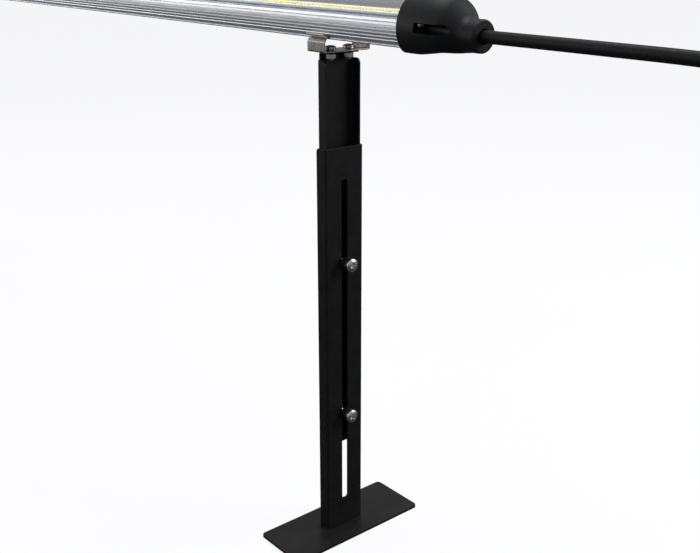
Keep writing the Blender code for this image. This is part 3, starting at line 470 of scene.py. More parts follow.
def prism(loops, start, end, name="prism"):
    """A solid along local Z from flat loops: the first is its outside, the others are holes."""
    solid = bmesh.new()
    low = [[solid.verts.new((x, y, start)) for x, y in loop] for loop in loops]
    high = [[solid.verts.new((x, y, end)) for x, y in loop] for loop in loops]
    for bottom, top in zip(low, high):
        for i in range(len(bottom)):
            j = (i + 1) % len(bottom)
            solid.faces.new((bottom[i], bottom[j], top[j], top[i]))
    for level in (low, high):
        verts = [vert for loop in level for vert in loop]
        for triangle in tessellate_polygon([[vert.co for vert in loop] for loop in level]):
            solid.faces.new([verts[i] for i in triangle])
    return to_mesh(solid, name)


def bridge(solid, rings, closed=False):
    """Faces through rings of equally many points, the ends filled unless it closes on itself."""
    rows = [[solid.verts.new(point) for point in ring] for ring in rings]
    made = []
    for low, high in list(zip(rows, rows[1:])) + ([(rows[-1], rows[0])] if closed else []):
        for i in range(len(low)):
            j = (i + 1) % len(low)
            made.append(solid.faces.new((low[i], low[j], high[j], high[i])))
    if not closed:
        made += [solid.faces.new(rows[0][::-1]), solid.faces.new(rows[-1])]
    return made


def loft(rings, closed=False, name="loft"):
    solid = bmesh.new()
    bridge(solid, rings, closed)
    return to_mesh(solid, name)


def turned(profile, steps=48, ring=False, name="turned"):
    """A solid of revolution about local Z from (radius, height) pairs."""
    solid = bmesh.new()
    rows = []
    for radius, height in profile:
        if radius < 1e-7:
            rows.append([solid.verts.new((0.0, 0.0, height))])
        else:
            rows.append([solid.verts.new((x, y, height)) for x, y in circle((0, 0), radius, steps)])
    pairs = list(zip(rows, rows[1:])) + ([(rows[-1], rows[0])] if ring else [])
    for upper, lower in pairs:
        for i in range(steps):
            j = (i + 1) % steps
            corners = [upper[i % len(upper)], upper[j % len(upper)],
                       lower[j % len(lower)], lower[i % len(lower)]]
            solid.faces.new(list(dict.fromkeys(corners)))
    return to_mesh(solid, name)


def strip(path, sweep, corner=0.0, tab=()):
    """An open sheet: a path swept along a vector. The far corners can be rounded, and the
    longest edge can grow a tab along more steps."""
    sheet = bmesh.new()
    near = [sheet.verts.new(point) for point in path]
    edges = [sheet.edges.new(pair) for pair in zip(near, near[1:])]
    grown = bmesh.ops.extrude_edge_only(sheet, edges=edges)["geom"]
    far = [item for item in grown if isinstance(item, bmesh.types.BMVert)]
    bmesh.ops.translate(sheet, verts=far, vec=sweep)
    web = max((e for e in grown if isinstance(e, bmesh.types.BMEdge) and e.verts[0] in far
               and e.verts[1] in far), key=lambda e: e.calc_length())
    for step in tab:
        grown = bmesh.ops.extrude_edge_only(sheet, edges=[web])["geom"]
        web = next(item for item in grown if isinstance(item, bmesh.types.BMEdge))
        bmesh.ops.translate(sheet, verts=list(web.verts), vec=step)
    if corner:
        ends = [vert for vert in far if len(vert.link_edges) == 2]
        bmesh.ops.bevel(sheet, geom=ends, offset=corner, offset_type="OFFSET", segments=8,
                        profile=0.5, affect="VERTICES")
    return to_mesh(sheet, "sheet")


def worked(mesh, *steps):
    """The mesh after these modifiers, each given as its kind and its settings."""
    blank = bpy.data.objects.new("blank", mesh)
    bpy.context.scene.collection.objects.link(blank)
    for kind, settings in steps:
        modifier = blank.modifiers.new(kind.lower(), kind)
        for setting, value in settings.items():
            setattr(modifier, setting, value)
    graph = bpy.context.evaluated_depsgraph_get()
    result = bpy.data.meshes.new_from_object(blank.evaluated_get(graph), depsgraph=graph)
    result.name = mesh.name
    bpy.data.objects.remove(blank, do_unlink=True)
    return result


def thickened(mesh, thickness):
    return worked(mesh, ("SOLIDIFY", {"thickness": thickness, "offset": 0.0, "use_even_offset": True}))


def carved(mesh, cutters):
    """The mesh less every cutter, each given as a mesh and its place."""
    tools = []
    for shape, place in cutters:
        tool = bpy.data.objects.new("cutter", shape)
        bpy.context.scene.collection.objects.link(tool)
        tool.matrix_world = place
        tools.append(tool)
    bpy.context.view_layer.update()
    result = worked(mesh, *(("BOOLEAN", {"operation": "DIFFERENCE", "solver": "EXACT", "object": tool})
                            for tool in tools))
    for tool in tools:
        bpy.data.objects.remove(tool, do_unlink=True)
    return result


def softened(mesh, width, segments=2, angle=38.0):
    """The mesh with its sharp edges rounded and its flats kept flat."""
    mesh.shade_smooth()
    return worked(mesh,
                  ("BEVEL", {"width": width, "segments": segments, "limit_method": "ANGLE",
                             "angle_limit": math.radians(angle), "use_clamp_overlap": True}),
                  ("WEIGHTED_NORMAL", {"keep_sharp": True, "weight": 80}))


def shaded(mesh, angle=32.0):
    """Smooth shading, sharp where faces meet at more than an angle."""
    mesh.shade_smooth()
    mesh.set_sharp_from_angle(angle=math.radians(angle))
    return mesh


def add_piece(name, mesh, finishes, body, stands_for=(), place=None):
    """Puts a piece in the scene on its CAD body, in place of the CAD nodes it stands for."""
    piece = bpy.data.objects.new(name, mesh)
    for make in finishes:
        mesh.materials.append(material_of(make))
    bpy.context.scene.collection.objects.link(piece)
    if place is not None:
        piece.matrix_world = place
    if body:
        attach(piece, body)
    if stands_for:
        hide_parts(*stands_for)
    return piece


def refinish(node, make, edge=0.0):
    """Gives a CAD node a finish and, where asked, rounded edges."""
    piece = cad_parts[node]
    for holder in piece.material_slots:
        holder.material = material_of(make)
    if edge:
        weld = piece.modifiers.new("weld", "WELD")
        weld.merge_threshold = 0.002 * MM
        bevel = piece.modifiers.new("edges", "BEVEL")
        bevel.width = edge
        bevel.segments = 2
        bevel.limit_method = "ANGLE"
        bevel.angle_limit = math.radians(38)


def stand_place(side, x=0.0, y=0.0, z=0.0):
    return SIDES[side] @ Matrix.Translation((FACE_X + x, y, z))


def end_place(side, x=0.0, y=0.0, z=0.0):
    return SIDES[side] @ Matrix.Translation((RIM_X + x, y, BAR_Z + z))


# Stands

def plate_mesh(edge):
    half_x = PLATE_WIDTH / 2
    half_y = PLATE_LENGTH / 2
    loop = rectangle((-half_x, -half_y), (half_x, half_y), PLATE_CORNER, 8)
    return softened(prism([loop], 0.0, PLATE_TOP, "foot_plate"), edge)


def post_mesh(edge):
    """Outer channel with its long slot."""
    base = PLATE_TOP + GAP
    middle = CHANNEL_WIDTH / 2 - SHEET / 2
    path = rounded([(-CHANNEL_DEPTH, -middle, 0), (-SHEET / 2, -middle, 0),
                    (-SHEET / 2, middle, 0), (-CHANNEL_DEPTH, middle, 0)], CHANNEL_BEND, 6)
    sheet = thickened(strip(path, (0.0, 0.0, POST_TOP - base), CHANNEL_CORNER), SHEET)
    top = POST_TOP - base - SLOT_TOP_MARGIN - SLOT_WIDTH / 2
    bottom = SLOT_BOTTOM + SLOT_WIDTH / 2 - GAP
    slot = (arc((0.0, bottom), SLOT_WIDTH / 2, 180, 360, 16)
            + arc((0.0, top), SLOT_WIDTH / 2, 0, 180, 16))
    return softened(carved(sheet, [(prism([slot], -3 * SHEET, 3 * SHEET), ALONG_X)]), edge)


def weld_bead(length, leg, ripple=1.9 * MM):
    """A fillet weld along local X in the corner between local Y and Z, with its ripples."""
    count = max(8, round(length / (0.45 * MM)))
    rings = []
    for i in range(count + 1):
        x = length * (i / count - 0.5)
        end = min(1.0, (length / 2 - abs(x)) / (1.2 * leg) + 0.35)
        size = leg * end * (1.0 + 0.07 * math.cos(2 * math.pi * x / ripple))
        crown = [(size * math.cos(a) ** 1.25, size * math.sin(a) ** 1.25)
                 for a in (math.radians(90 * k / 8) for k in range(9))]
        rings.append([(x, 0.0, 0.0)] + [(x, y, z) for y, z in crown])
    return rings


def weld_mesh(leg):
    """Three beads inside the outer channel, where it stands on the plate."""
    inside = CHANNEL_WIDTH / 2 - SHEET
    flange_x = -CHANNEL_DEPTH / 2 - SHEET / 2
    flange_run = 8.0 * MM
    runs = [((-SHEET, 0), math.pi / 2, 2 * (inside - leg)), ((flange_x, -inside), 0.0, flange_run),
            ((flange_x, inside), math.pi, flange_run)]
    solid = bmesh.new()
    for (x, y), turn, length in runs:
        place = Matrix.Translation((x, y, PLATE_TOP)) @ Matrix.Rotation(turn, 4, "Z")
        bridge(solid, [[place @ Vector(point) for point in ring] for ring in weld_bead(length, leg)])
    return shaded(to_mesh(solid, "weld"), 50)


def slider_mesh(edge):
    """Inner channel: web at the back, flanges forward, and the tab that carries the clip."""
    back = -CHANNEL_DEPTH + SHEET / 2
    middle = SLIDER_HALF - SHEET / 2
    path = rounded([(-SLIDER_FRONT, -middle, 0), (back, -middle, 0),
                    (back, middle, 0), (-SLIDER_FRONT, middle, 0)], TAB_BEND, 6)
    rise = TAB_RISE - SHEET / 2
    tip = back + TAB_REACH - SHEET / 2
    bend = rounded([(back, 0, 0), (back, 0, rise), (tip, 0, rise)], TAB_BEND, 6)
    steps = [after - before for before, after in zip(bend, bend[1:])]
    sheet = thickened(strip(path, (0.0, 0.0, FLANGE), SLIDER_CORNER, steps), SHEET)
    bore = prism([circle((0, 0), M6_HOLE, 32)], -3 * SHEET, 3 * SHEET)
    small = prism([circle((0, 0), M5_HOLE, 32)], -3 * SHEET, 3 * SHEET)
    cutters = [(bore, Matrix.Translation((back, 0.0, z - SLIDER_BOTTOM)) @ AXIS_X)
               for z in (LOWER_SCREW, UPPER_SCREW)]
    cutters += [(small, Matrix.Translation((-CLIP_SCREW_SETBACK, out, TAB_TOP - SLIDER_BOTTOM)))
                for out in (-CLIP_SCREW_OUT, CLIP_SCREW_OUT)]
    return softened(carved(sheet, cutters), edge)


# Screws and nuts

def cross_cutter(head, depth):
    """A tapered cross with a hollow in its middle, from above the head down to its depth."""
    rings = []
    for z, size in ((0.6 * MM, 1.0), (-0.35 * depth, 0.93), (-depth, 0.55)):
        arm = head * 0.27 * size
        blade = head * 0.07 * (0.6 + 0.4 * size)
        ring = []
        for quarter in range(4):
            turn = Matrix.Rotation(math.pi / 2 * quarter + math.radians(10), 2)
            ring += [(*(turn @ Vector(corner)), z)
                     for corner in ((arm, -blade), (arm, blade), (blade * 1.25, blade * 1.25))]
        rings.append(ring)
    return loft(rings)


def screw_mesh(shank, head, height, dome, pitch, recess, length, name):
    """Pan-head screw with a cross recess and a rolled thread. Its head's underside is at 0."""
    side = height - dome
    crown = [(head / 2 * math.sin(a), side + dome * math.cos(a))
             for a in (math.radians(90 * k / 14) for k in range(15))]
    edge = 0.3 * MM
    under = [(head / 2, edge), (head / 2 - 0.3 * edge, 0.3 * edge), (head / 2 - edge, 0.0),
             (shank / 2, 0.0)]
    thread = []
    plain = 0.25 * length
    turns = int((length - plain - 0.8 * MM) / pitch)
    for k in range(turns):
        z = -plain - k * pitch
        thread += [(shank / 2, z), (shank / 2 - 0.55 * pitch, z - 0.45 * pitch),
                   (shank / 2 - 0.55 * pitch, z - 0.55 * pitch)]
    end = -plain - turns * pitch
    thread += [(shank / 2, end), (shank / 2 - 0.5 * pitch, -length + 0.1 * MM),
               (shank / 2 - 0.7 * pitch, -length), (0.0, -length)]
    blank = turned(crown + under + thread, 40, name=name)
    cut = carved(blank, [(cross_cutter(head, recess), Matrix.Translation((0, 0, height)))])
    return shaded(cut, 40)


def nut_mesh(flats, height, bore, name):
    """Hexagon nut with chamfered corners, an insert's collar on top, and a plain bore widened at both
    ends.
    """
    steps = 72
    collar = 0.18 * height
    body = height - collar
    slope = 0.58

    def ring(z, reach):
        points = []
        for k in range(steps):
            angle = 2 * math.pi * k / steps
            offset = (math.degrees(angle) + 30) % 60 - 30
            radius = min(reach, flats / 2 / math.cos(math.radians(offset)))
            points.append((radius * math.cos(angle), radius * math.sin(angle), z))
        return points

    chamfer = 0.16 * flats / 2 * slope + 0.02 * MM
    face = 0.97 * flats / 2
    rows = [ring(0.0, face)]
    rows += [ring(chamfer * k / 4, face + chamfer * k / 4 / slope) for k in range(1, 5)]
    rows += [ring(body - chamfer * k / 4, face + chamfer * k / 4 / slope) for k in range(4, 0, -1)]
    rows += [ring(body, face), ring(body, 0.43 * flats), ring(body + 0.6 * collar, 0.42 * flats),
             ring(height, 0.37 * flats), ring(height, bore / 2 + 0.2 * MM),
             ring(height - 0.3 * MM, bore / 2), ring(0.4 * MM, bore / 2), ring(0.0, bore / 2 + 0.3 * MM)]
    return shaded(loft(rows, closed=True, name=name), 28)


def bush_mesh():
    """Black bush under a clamping screw's head, with rounded rims."""
    inner = M6_HOLE
    outer = BUSH_DIAMETER / 2
    rim = 0.5 * MM
    profile = [(inner, BUSH_LENGTH), *arc((outer - rim, BUSH_LENGTH - rim), rim, 90, 0, 5),
               *arc((outer - rim, rim), rim, 0, -90, 5), (inner, 0.0)]
    return shaded(turned(profile, 48, ring=True, name="bush"), 40)


# Clip

def clip_mesh():
    """Spring clip bent from one strip, with two screw holes."""
    half = CLIP_SHEET / 2
    inside = RAIL_EDGE - CLIP_HOOK
    waist = inside + half - WAIST_CORNER
    arm = inside + CLIP_PINCH - half
    right = [(0, arm, half), (0, arm, CLIP_ARM), (0, waist, WAIST_Z),
             (0, waist + LIP_FLARE, WAIST_Z + LIP_RISE)]
    left = [(0, -y, z) for _, y, z in reversed(right)]
    path = [p + Vector((-CLIP_LENGTH / 2, 0, 0)) for p in rounded(left + right, CLIP_BEND, 7)]
    sheet = thickened(strip(path, (CLIP_LENGTH, 0.0, 0.0)), CLIP_SHEET)
    hole = prism([circle((0, 0), M5_HOLE, 32)], -3 * CLIP_SHEET, 3 * CLIP_SHEET)
    cutters = [(hole, Matrix.Translation((CLIP_SETBACK - CLIP_SCREW_SETBACK, out, half)))
               for out in (-CLIP_SCREW_OUT, CLIP_SCREW_OUT)]
    return softened(carved(sheet, cutters), 0.16 * MM)


# Light bar

def mirrored(half):
    """A closed outline from its right half, which runs from top middle to bottom middle."""
    return half + [(-y, z) for y, z in reversed(half) if y > 0]


def on_circle(radius, height):
    return (math.sqrt(radius ** 2 - height ** 2), height)


def ribbed_side():
    """The right side of the housing: smooth grooves between rounded ribs."""
    side = [on_circle(TUBE_RADIUS - 0.25 * MM, LIP_HEIGHT),
            on_circle(TUBE_RADIUS, LIP_HEIGHT - 0.2 * MM)]
    groove = math.degrees(RIB_GROOVE / 2 / TUBE_RADIUS)
    for k in range(RIB_COUNT):
        middle = RIB_FIRST - k * RIB_PITCH
        for j in range(-6, 7):
            depth = RIB_DEPTH * math.cos(math.pi / 2 * j / 6) ** 1.2 if abs(j) < 6 else 0.0
            angle = math.radians(middle - j / 6 * groove * 1.25)
            reach = TUBE_RADIUS - depth
            side.append((reach * math.cos(angle), reach * math.sin(angle)))
        if k < RIB_COUNT - 1:
            side += arc((0, 0), TUBE_RADIUS, middle - 1.5 * groove,
                        middle - RIB_PITCH + 1.5 * groove, 3)
    return side


def housing_mesh():
    groove_out = PLATFORM_HALF + COVER_GROOVE
    half = [(0.0, PLATFORM_TOP), (PLATFORM_HALF, PLATFORM_TOP), (PLATFORM_HALF, GROOVE_FLOOR),
            (groove_out, GROOVE_FLOOR), (groove_out, LIP_HEIGHT), *ribbed_side(),
            on_circle(TUBE_RADIUS, NECK_TOP + 1.1 * MM), on_circle(TUBE_RADIUS, NECK_TOP + 0.5 * MM),
            (NECK, NECK_TOP), (NECK - 0.45 * MM, RAIL_TOP + 0.4 * MM), (RAIL_EDGE, RAIL_TOP + 0.3 * MM),
            (RAIL_EDGE - 0.15 * MM, RAIL_TOP + 0.05 * MM), (RAIL_EDGE - 0.6 * MM, TUBE_BOTTOM),
            (0.0, TUBE_BOTTOM)]
    inner = TUBE_RADIUS - TUBE_WALL
    shelf = PORT_UP - 2.6 * MM
    wall = RAIL_EDGE - 3.2 * MM
    edge = PLATFORM_HALF - TUBE_WALL
    floor = TUBE_BOTTOM + TUBE_WALL
    low = math.degrees(math.asin((NECK_TOP + 2.5 * MM) / inner))
    high = math.degrees(math.asin(shelf / inner))
    chamber = [(0.0, PLATFORM_TOP - TUBE_WALL), (edge, PLATFORM_TOP - TUBE_WALL),
               (edge, GROOVE_FLOOR - TUBE_WALL), (PLATFORM_HALF + COVER_GROOVE, shelf),
               *arc((0, 0), inner, high, low, 10), (wall, NECK_TOP),
               (wall, floor), (0.0, floor)]
    ports = [circle((out, PORT_UP), 1.3 * MM, 20) for out in (-PORT_OUT, PORT_OUT)]
    loops = [mirrored(half), mirrored(chamber), *ports]
    return shaded(prism(loops, -BAR_HALF, BAR_HALF, "housing_extrusion"), 34)


def cover_mesh():
    """Clear arch with a foot on each side that hooks into the housing."""
    bottom = LIP_HEIGHT + GAP
    inner = TUBE_RADIUS - COVER_WALL
    flange = bottom + COVER_WALL
    foot_out = PLATFORM_HALF + COVER_GROOVE - GAP
    foot_in = PLATFORM_HALF + GAP
    foot_end = GROOVE_FLOOR + GAP
    start = math.degrees(math.asin(bottom / TUBE_RADIUS))
    low = math.degrees(math.asin(flange / inner))
    right = [(foot_out, bottom), (foot_out, foot_end), (foot_in, foot_end), (foot_in, flange)]
    loop = (arc((0, 0), TUBE_RADIUS, 180 - start, start, 64) + right
            + arc((0, 0), inner, low, 180 - low, 64) + [(-y, z) for y, z in reversed(right)])
    return shaded(prism([loop], -BAR_HALF, BAR_HALF, "cover_shell"), 34)


def led_mesh(size):
    """One LED package: a thin white frame under a domed block of phosphor."""
    solid = bmesh.new()

    def stack(rows, corner, material):
        rings = [[(x, y, z) for x, y in rectangle((-reach, -reach), (reach, reach),
                                                  min(corner, 0.6 * reach), 3)]
                 for reach, z in rows]
        for face in bridge(solid, rings):
            face.material_index = material

    half = size / 2
    stack([(half, 0.0), (half, 0.22 * MM), (half - 0.06 * MM, LED_FRAME)], 0.2 * MM, 0)
    block = half - 0.12 * MM
    stack([(block, LED_FRAME), (block, 0.95 * MM), (0.93 * block, 1.2 * MM),
           (0.78 * block, 1.4 * MM), (0.5 * block, 1.53 * MM), (0.2 * block, 1.57 * MM)], 0.5 * MM, 1)
    return shaded(to_mesh(solid, "led_package"), 40)


def cap_ring(x, radius, bottom, centre, steps=84):
    """A round section with a flattened underside, blended where they meet."""
    sharpness = 14
    ring = []
    for k in range(steps):
        angle = 2 * math.pi * (k + 0.5) / steps
        flat = max(0.0, -math.sin(angle)) / bottom
        reach = (radius ** -sharpness + flat ** sharpness) ** (-1 / sharpness)
        ring.append((x, reach * math.cos(angle), centre + reach * math.sin(angle)))
    return ring


def curve_through(points, spacing):
    """Points along a smooth curve through these points, whatever they hold."""
    points = [Vector(point) for point in points]
    ends = [points[0] * 2 - points[1], *points, points[-1] * 2 - points[-2]]
    path = []
    for before, start, end, after in zip(ends, ends[1:], ends[2:], ends[3:]):
        steps = max(1, round((end - start).length / spacing))
        for k in range(steps):
            t = k / steps
            path.append(0.5 * (2 * start + (end - before) * t
                               + (2 * before - 5 * start + 4 * end - after) * t ** 2
                               + (3 * start - before - 3 * end + after) * t ** 3))
    path.append(points[-1])
    return path


def cap_mesh():
    """Moulded end cap: rim, dome and collar outside, with the tube's pocket, the cable's bores
    and two screw recesses cut in."""
    dome = [(x * MM, CAP_RADIUS - inset * MM, CAP_BOTTOM - rise * MM, -share * COLLAR_DROP)
            for x, inset, rise, share in CAP_OUTLINE]
    rings = [cap_ring(x * MM, CAP_RADIUS - inset * MM, CAP_BOTTOM - inset * MM, 0.0)
             for x, inset in ((0.0, 0.6), (0.2, 0.2), (0.7, 0.0))]
    rings += [cap_ring(*row) for row in curve_through(dome, 1.1 * MM)]
    rings += [cap_ring(CAP_LENGTH - back * MM, COLLAR_RADIUS - inset * MM, CAP_BOTTOM, -COLLAR_DROP)
              for back, inset in ((1.6, 0.0), (0.9, 0.1), (0.4, 0.35), (0.1, 0.75), (0.0, 1.2))]
    lead_in = 4.0 * MM

    def bore(radius, start, stop, rise):
        return (prism([circle((0, 0), radius, 60)], start, stop),
                Matrix.Translation((0, 0, rise)) @ ALONG_X)

    reach = math.hypot(RAIL_EDGE, TUBE_BOTTOM + 0.3 * MM) + GAP
    low = math.degrees(math.asin((TUBE_BOTTOM - GAP) / reach))
    tube = arc((0, 0), reach, low, 180 - low, 60)
    cutters = [(prism([tube], -lead_in, CAP_POCKET), ALONG_X),
               bore(12.8 * MM, CAP_POCKET - lead_in, CAVITY_END, 0.5 * MM),
               bore(8.8 * MM, CAVITY_END - lead_in, SEAL_END, -COLLAR_DROP),
               bore(EXIT_DIAMETER / 2, SEAL_END - lead_in, CAP_LENGTH + lead_in, -COLLAR_DROP)]
    half = 3.7 * MM
    outer = 2 * CAP_RADIUS
    for out in (-1, 1):
        cutters.append((prism([circle((0, 0), 1.75 * MM, 24)], CAP_POCKET / 2, CAP_FLOOR + 2 * MM),
                        Matrix.Translation((0, out * PORT_OUT, PORT_UP)) @ ALONG_X))
        draft = Matrix.Identity(4)
        draft[1][0] = RECESS_DRAFT * out
        draft[1][3] = -RECESS_DRAFT * out * CAP_FLOOR
        recess = [(out * y, z) for y, z in
                  [(outer, half), *arc((PORT_OUT, 0.0), half, 90, 270, 16), (outer, -half)]]
        cutters.append((prism([recess], CAP_FLOOR, CAP_FLOOR + CAP_LENGTH),
                        Matrix.Translation((0, 0, PORT_UP)) @ draft @ ALONG_X))
    return softened(carved(loft(rings, name="end_cap"), cutters), 0.28 * MM, 2, 45)


def cap_screw_mesh():
    """Small pan-head screw whose thread cuts into the housing's port."""
    head = 2.8 * MM
    height = 2.3 * MM
    shank = 1.45 * MM
    profile = [(head * math.sin(a), height * (0.35 + 0.65 * math.cos(a)))
               for a in (math.radians(9 * k) for k in range(11))]
    profile += [(head, 0.2 * MM), (head - 0.2 * MM, 0.0), (shank, 0.0), (shank, -7.6 * MM)]
    for k in range(8):
        z = -(8.0 + k) * MM
        profile += [(0.95 * MM, z), (1.2 * MM, z - 0.5 * MM)]
    profile += [(0.9 * MM, -16.3 * MM), (0.3 * MM, -17.0 * MM), (0.0, -17.0 * MM)]
    recess = (cross_cutter(2 * head, 1.0 * MM), Matrix.Translation((0, 0, height)))
    return shaded(carved(turned(profile, 32, name="cap_screw"), [recess]), 40)


def blind_plug_mesh():
    """Rubber plug that closes the far cap's cable bore, with a shallow dish in its face."""
    stem = EXIT_DIAMETER / 2 - GAP
    face = CAP_LENGTH - 1.5 * MM
    start = CAVITY_END + GAP
    profile = [(0.0, face - 0.7 * MM), (2.6 * MM, face - 0.6 * MM), (3.3 * MM, face - 0.15 * MM),
               (3.9 * MM, face), *arc((stem - 0.8 * MM, face - 0.8 * MM), 0.8 * MM, 90, 0, 5),
               (stem, SEAL_END - GAP), (8.2 * MM, SEAL_END - GAP), (8.5 * MM, SEAL_END - GAP - 0.3 * MM),
               (8.5 * MM, start), (0.0, start)]
    return shaded(turned(profile, 48, name="blind_plug"), 40)


# Power cord

def smoothly(t):
    t = min(1.0, max(0.0, t))
    return t * t * (3 - 2 * t)


def bump_at(angle, middle, width):
    """1 at the middle angle, falling smoothly to 0 over the width on each side."""
    return smoothly(1 - abs(angle - middle) / width)


def hermite(t, start, end, start_slope, end_slope):
    return ((2 * t ** 3 - 3 * t ** 2 + 1) * start + (t ** 3 - 2 * t ** 2 + t) * start_slope
            + (3 * t ** 2 - 2 * t ** 3) * end + (t ** 3 - t ** 2) * end_slope)


def polar(point):
    """Radius and angle in degrees of a place round the coil's centre."""
    away = Vector(point) - COIL_CENTRE
    return math.hypot(away.x, away.y), math.degrees(math.atan2(away.y, away.x))


def coil_points(per_turn):
    """The coil, clockwise from above: in at the outside of the floor, once round, in to the inner
    turn, up between the two, and out over the outer turn to the plug."""
    enter_radius, enter_angle = polar(HANGING_ROUTE[-1])
    leave_radius, leave_angle = polar(TAIL_ROUTE[0])
    leave_angle -= 3 * 360
    step = 360 / per_turn
    points = []
    angle = enter_angle - step
    while angle > leave_angle + 0.5 * step:
        radius, height = OUTER_TURN, FLOOR_TURN_Z
        if angle > FLOOR_ANGLE:
            run = enter_angle - FLOOR_ANGLE
            t = (enter_angle - angle) / run
            radius = hermite(t, enter_radius, OUTER_TURN, -49 * MM * math.radians(run), 0.0)
            height = hermite(t, HANGING_ROUTE[-1][2], FLOOR_TURN_Z, -4.0 * MM, 0.0)
        elif INWARD_ANGLE > angle >= CLIMB_ANGLE:
            radius = OUTER_TURN + (INNER_TURN - OUTER_TURN) * smoothly((INWARD_ANGLE - angle) / 60)
        elif angle < CLIMB_ANGLE:
            roll = math.radians(180 - 60 * smoothly((CLIMB_ANGLE - angle) / 60))
            radius = OUTER_TURN + (OUTER_TURN - INNER_TURN) * math.cos(roll)
            climb = math.sin(roll) / math.sin(math.radians(120))
            height = FLOOR_TURN_Z + (TOP_TURN_Z - FLOOR_TURN_Z) * climb
            height += CROSS_RISE * bump_at(angle, CROSS_ANGLE, 55)
            if angle < LEAVE_ANGLE:
                run = LEAVE_ANGLE - leave_angle
                t = (LEAVE_ANGLE - angle) / run
                radius = hermite(t, TOP_TURN, leave_radius, 0.0, 54 * MM * math.radians(run))
                height = TOP_TURN_Z + CROSS_RISE * smoothly(t / 0.6)
                height += (TAIL_ROUTE[0][2] - TOP_TURN_Z - CROSS_RISE) * smoothly((t - 0.6) / 0.4)
        for turn in (0, 1, 2):
            height += 1.1 * MM * bump_at(angle, TIE_ANGLE - 360 * turn, 42)
        a = math.radians(angle)
        points.append(COIL_CENTRE + Vector((radius * math.cos(a), radius * math.sin(a), height)))
        angle -= step
    return points


def cord_path(per_turn):
    hanging = curve_through(HANGING_ROUTE, 9 * MM)
    return hanging + coil_points(per_turn) + curve_through(TAIL_ROUTE, 6 * MM)


def tube_mesh(path, radius, sides=24):
    """A round tube along a path, its section carried along without twisting."""
    across = Vector((0.0, 1.0, 0.0))
    rings = []
    for i, point in enumerate(path):
        ahead = (path[min(i + 1, len(path) - 1)] - path[max(i - 1, 0)]).normalized()
        across = (across - ahead * across.dot(ahead)).normalized()
        up = ahead.cross(across)
        rings.append([point + (across * math.cos(a) + up * math.sin(a)) * radius
                      for a in (2 * math.pi * k / sides for k in range(sides))])
    return shaded(loft(rings, name="power_cord"), 60)


def plug_mesh():
    """Moulded plug along local X: a ribbed strain relief, a waist and a body with finger grips."""
    rows = []
    for k in range(10):
        radius = 5.6 + 0.2 * k - (0.55 if k % 2 else 0.0)
        rows += [(3.0 * k + step, radius, radius, 2.0) for step in ((0.0, 1.2) if k < 9 else (0.0,))]
    rows += [(29.0, 8.6, 8.3, 2.2), (30.5, 10.2, 8.9, 2.8), (32.0, 11.5, 9.6, 3.4),
             (33.5, 12.2, 10.2, 3.8)]
    for k in range(5):
        rows += [(36.0 + 3.0 * k + step, wide, 10.5, 4.0)
                 for step, wide in ((0.0, 12.5), (0.6, 12.0), (1.4, 12.0), (2.0, 12.5))]
    rows += [(54.5, 12.5, 10.5, 4.0), (55.8, 12.45, 10.45, 4.0), (56.6, 12.1, 10.1, 4.0),
             (57.0, 11.4, 9.4, 4.0)]
    rings = []
    for x, wide, high, power in rows:
        ring = []
        for k in range(56):
            c = math.cos(2 * math.pi * k / 56)
            s = math.sin(2 * math.pi * k / 56)
            ring.append((x * MM, wide * MM * math.copysign(abs(c) ** (2 / power), c),
                         high * MM * math.copysign(abs(s) ** (2 / power), s)))
        rings.append(ring)
    return shaded(loft(rings, name="plug"), 30)


def blade_mesh():
    """Flat contact blade along local X with a hole near its tip."""
    loop = rectangle(mm(0.0, -3.15), mm(17.0, 3.15), 0.9 * MM, 4)
    hole = circle((13.2 * MM, 0.0), 1.6 * MM, 20)
    return softened(prism([loop, hole], -0.75 * MM, 0.75 * MM, "blade"), 0.25 * MM)


def pin_mesh():
    profile = [(0.0, 20 * MM), (0.9 * MM, 19.8 * MM), (1.7 * MM, 19.2 * MM), (2.2 * MM, 18.2 * MM),
               (2.4 * MM, 17.0 * MM), (2.4 * MM, 0.0), (0.0, 0.0)]
    return shaded(turned(profile, 32, name="ground_pin"), 40)


def tie_mesh(cable):
    """Strap round the coil's three strands."""
    low = FLOOR_TURN_Z + 1.1 * MM
    high = TOP_TURN_Z + 1.1 * MM

    def loop(reach):
        return (arc((TOP_TURN, high), reach, 150, 30, 10) + arc((OUTER_TURN, low), reach, 30, -90, 10)
                + arc((INNER_TURN, low), reach, -90, -210, 10))

    inside = cable / 2 + 0.08 * MM
    band = prism([loop(inside + 1.0 * MM), loop(inside)], -6.5 * MM, 6.5 * MM, "strap")
    return softened(band, 0.25 * MM)


# Operators

class LIGHTBAR_OT_camera(bpy.types.Operator):
    """Adds the camera that looks along the bar from above its near end"""

    bl_idname = "light_bar.add_camera"
    bl_label = "Camera"

    def execute(self, context):
        camera = bpy.data.objects.new("camera", bpy.data.cameras.new("camera"))
        context.scene.collection.objects.link(camera)
        camera.location = (1.23095, -0.52397, 0.5442)
        camera.rotation_euler = (math.radians(90 - 19.245), 0.0, math.radians(50.07))
        camera.data.lens = 50.0
        camera.data.sensor_width = 36.0
        camera.data.clip_start = 0.01
        context.scene.camera = camera
        return {"FINISHED"}


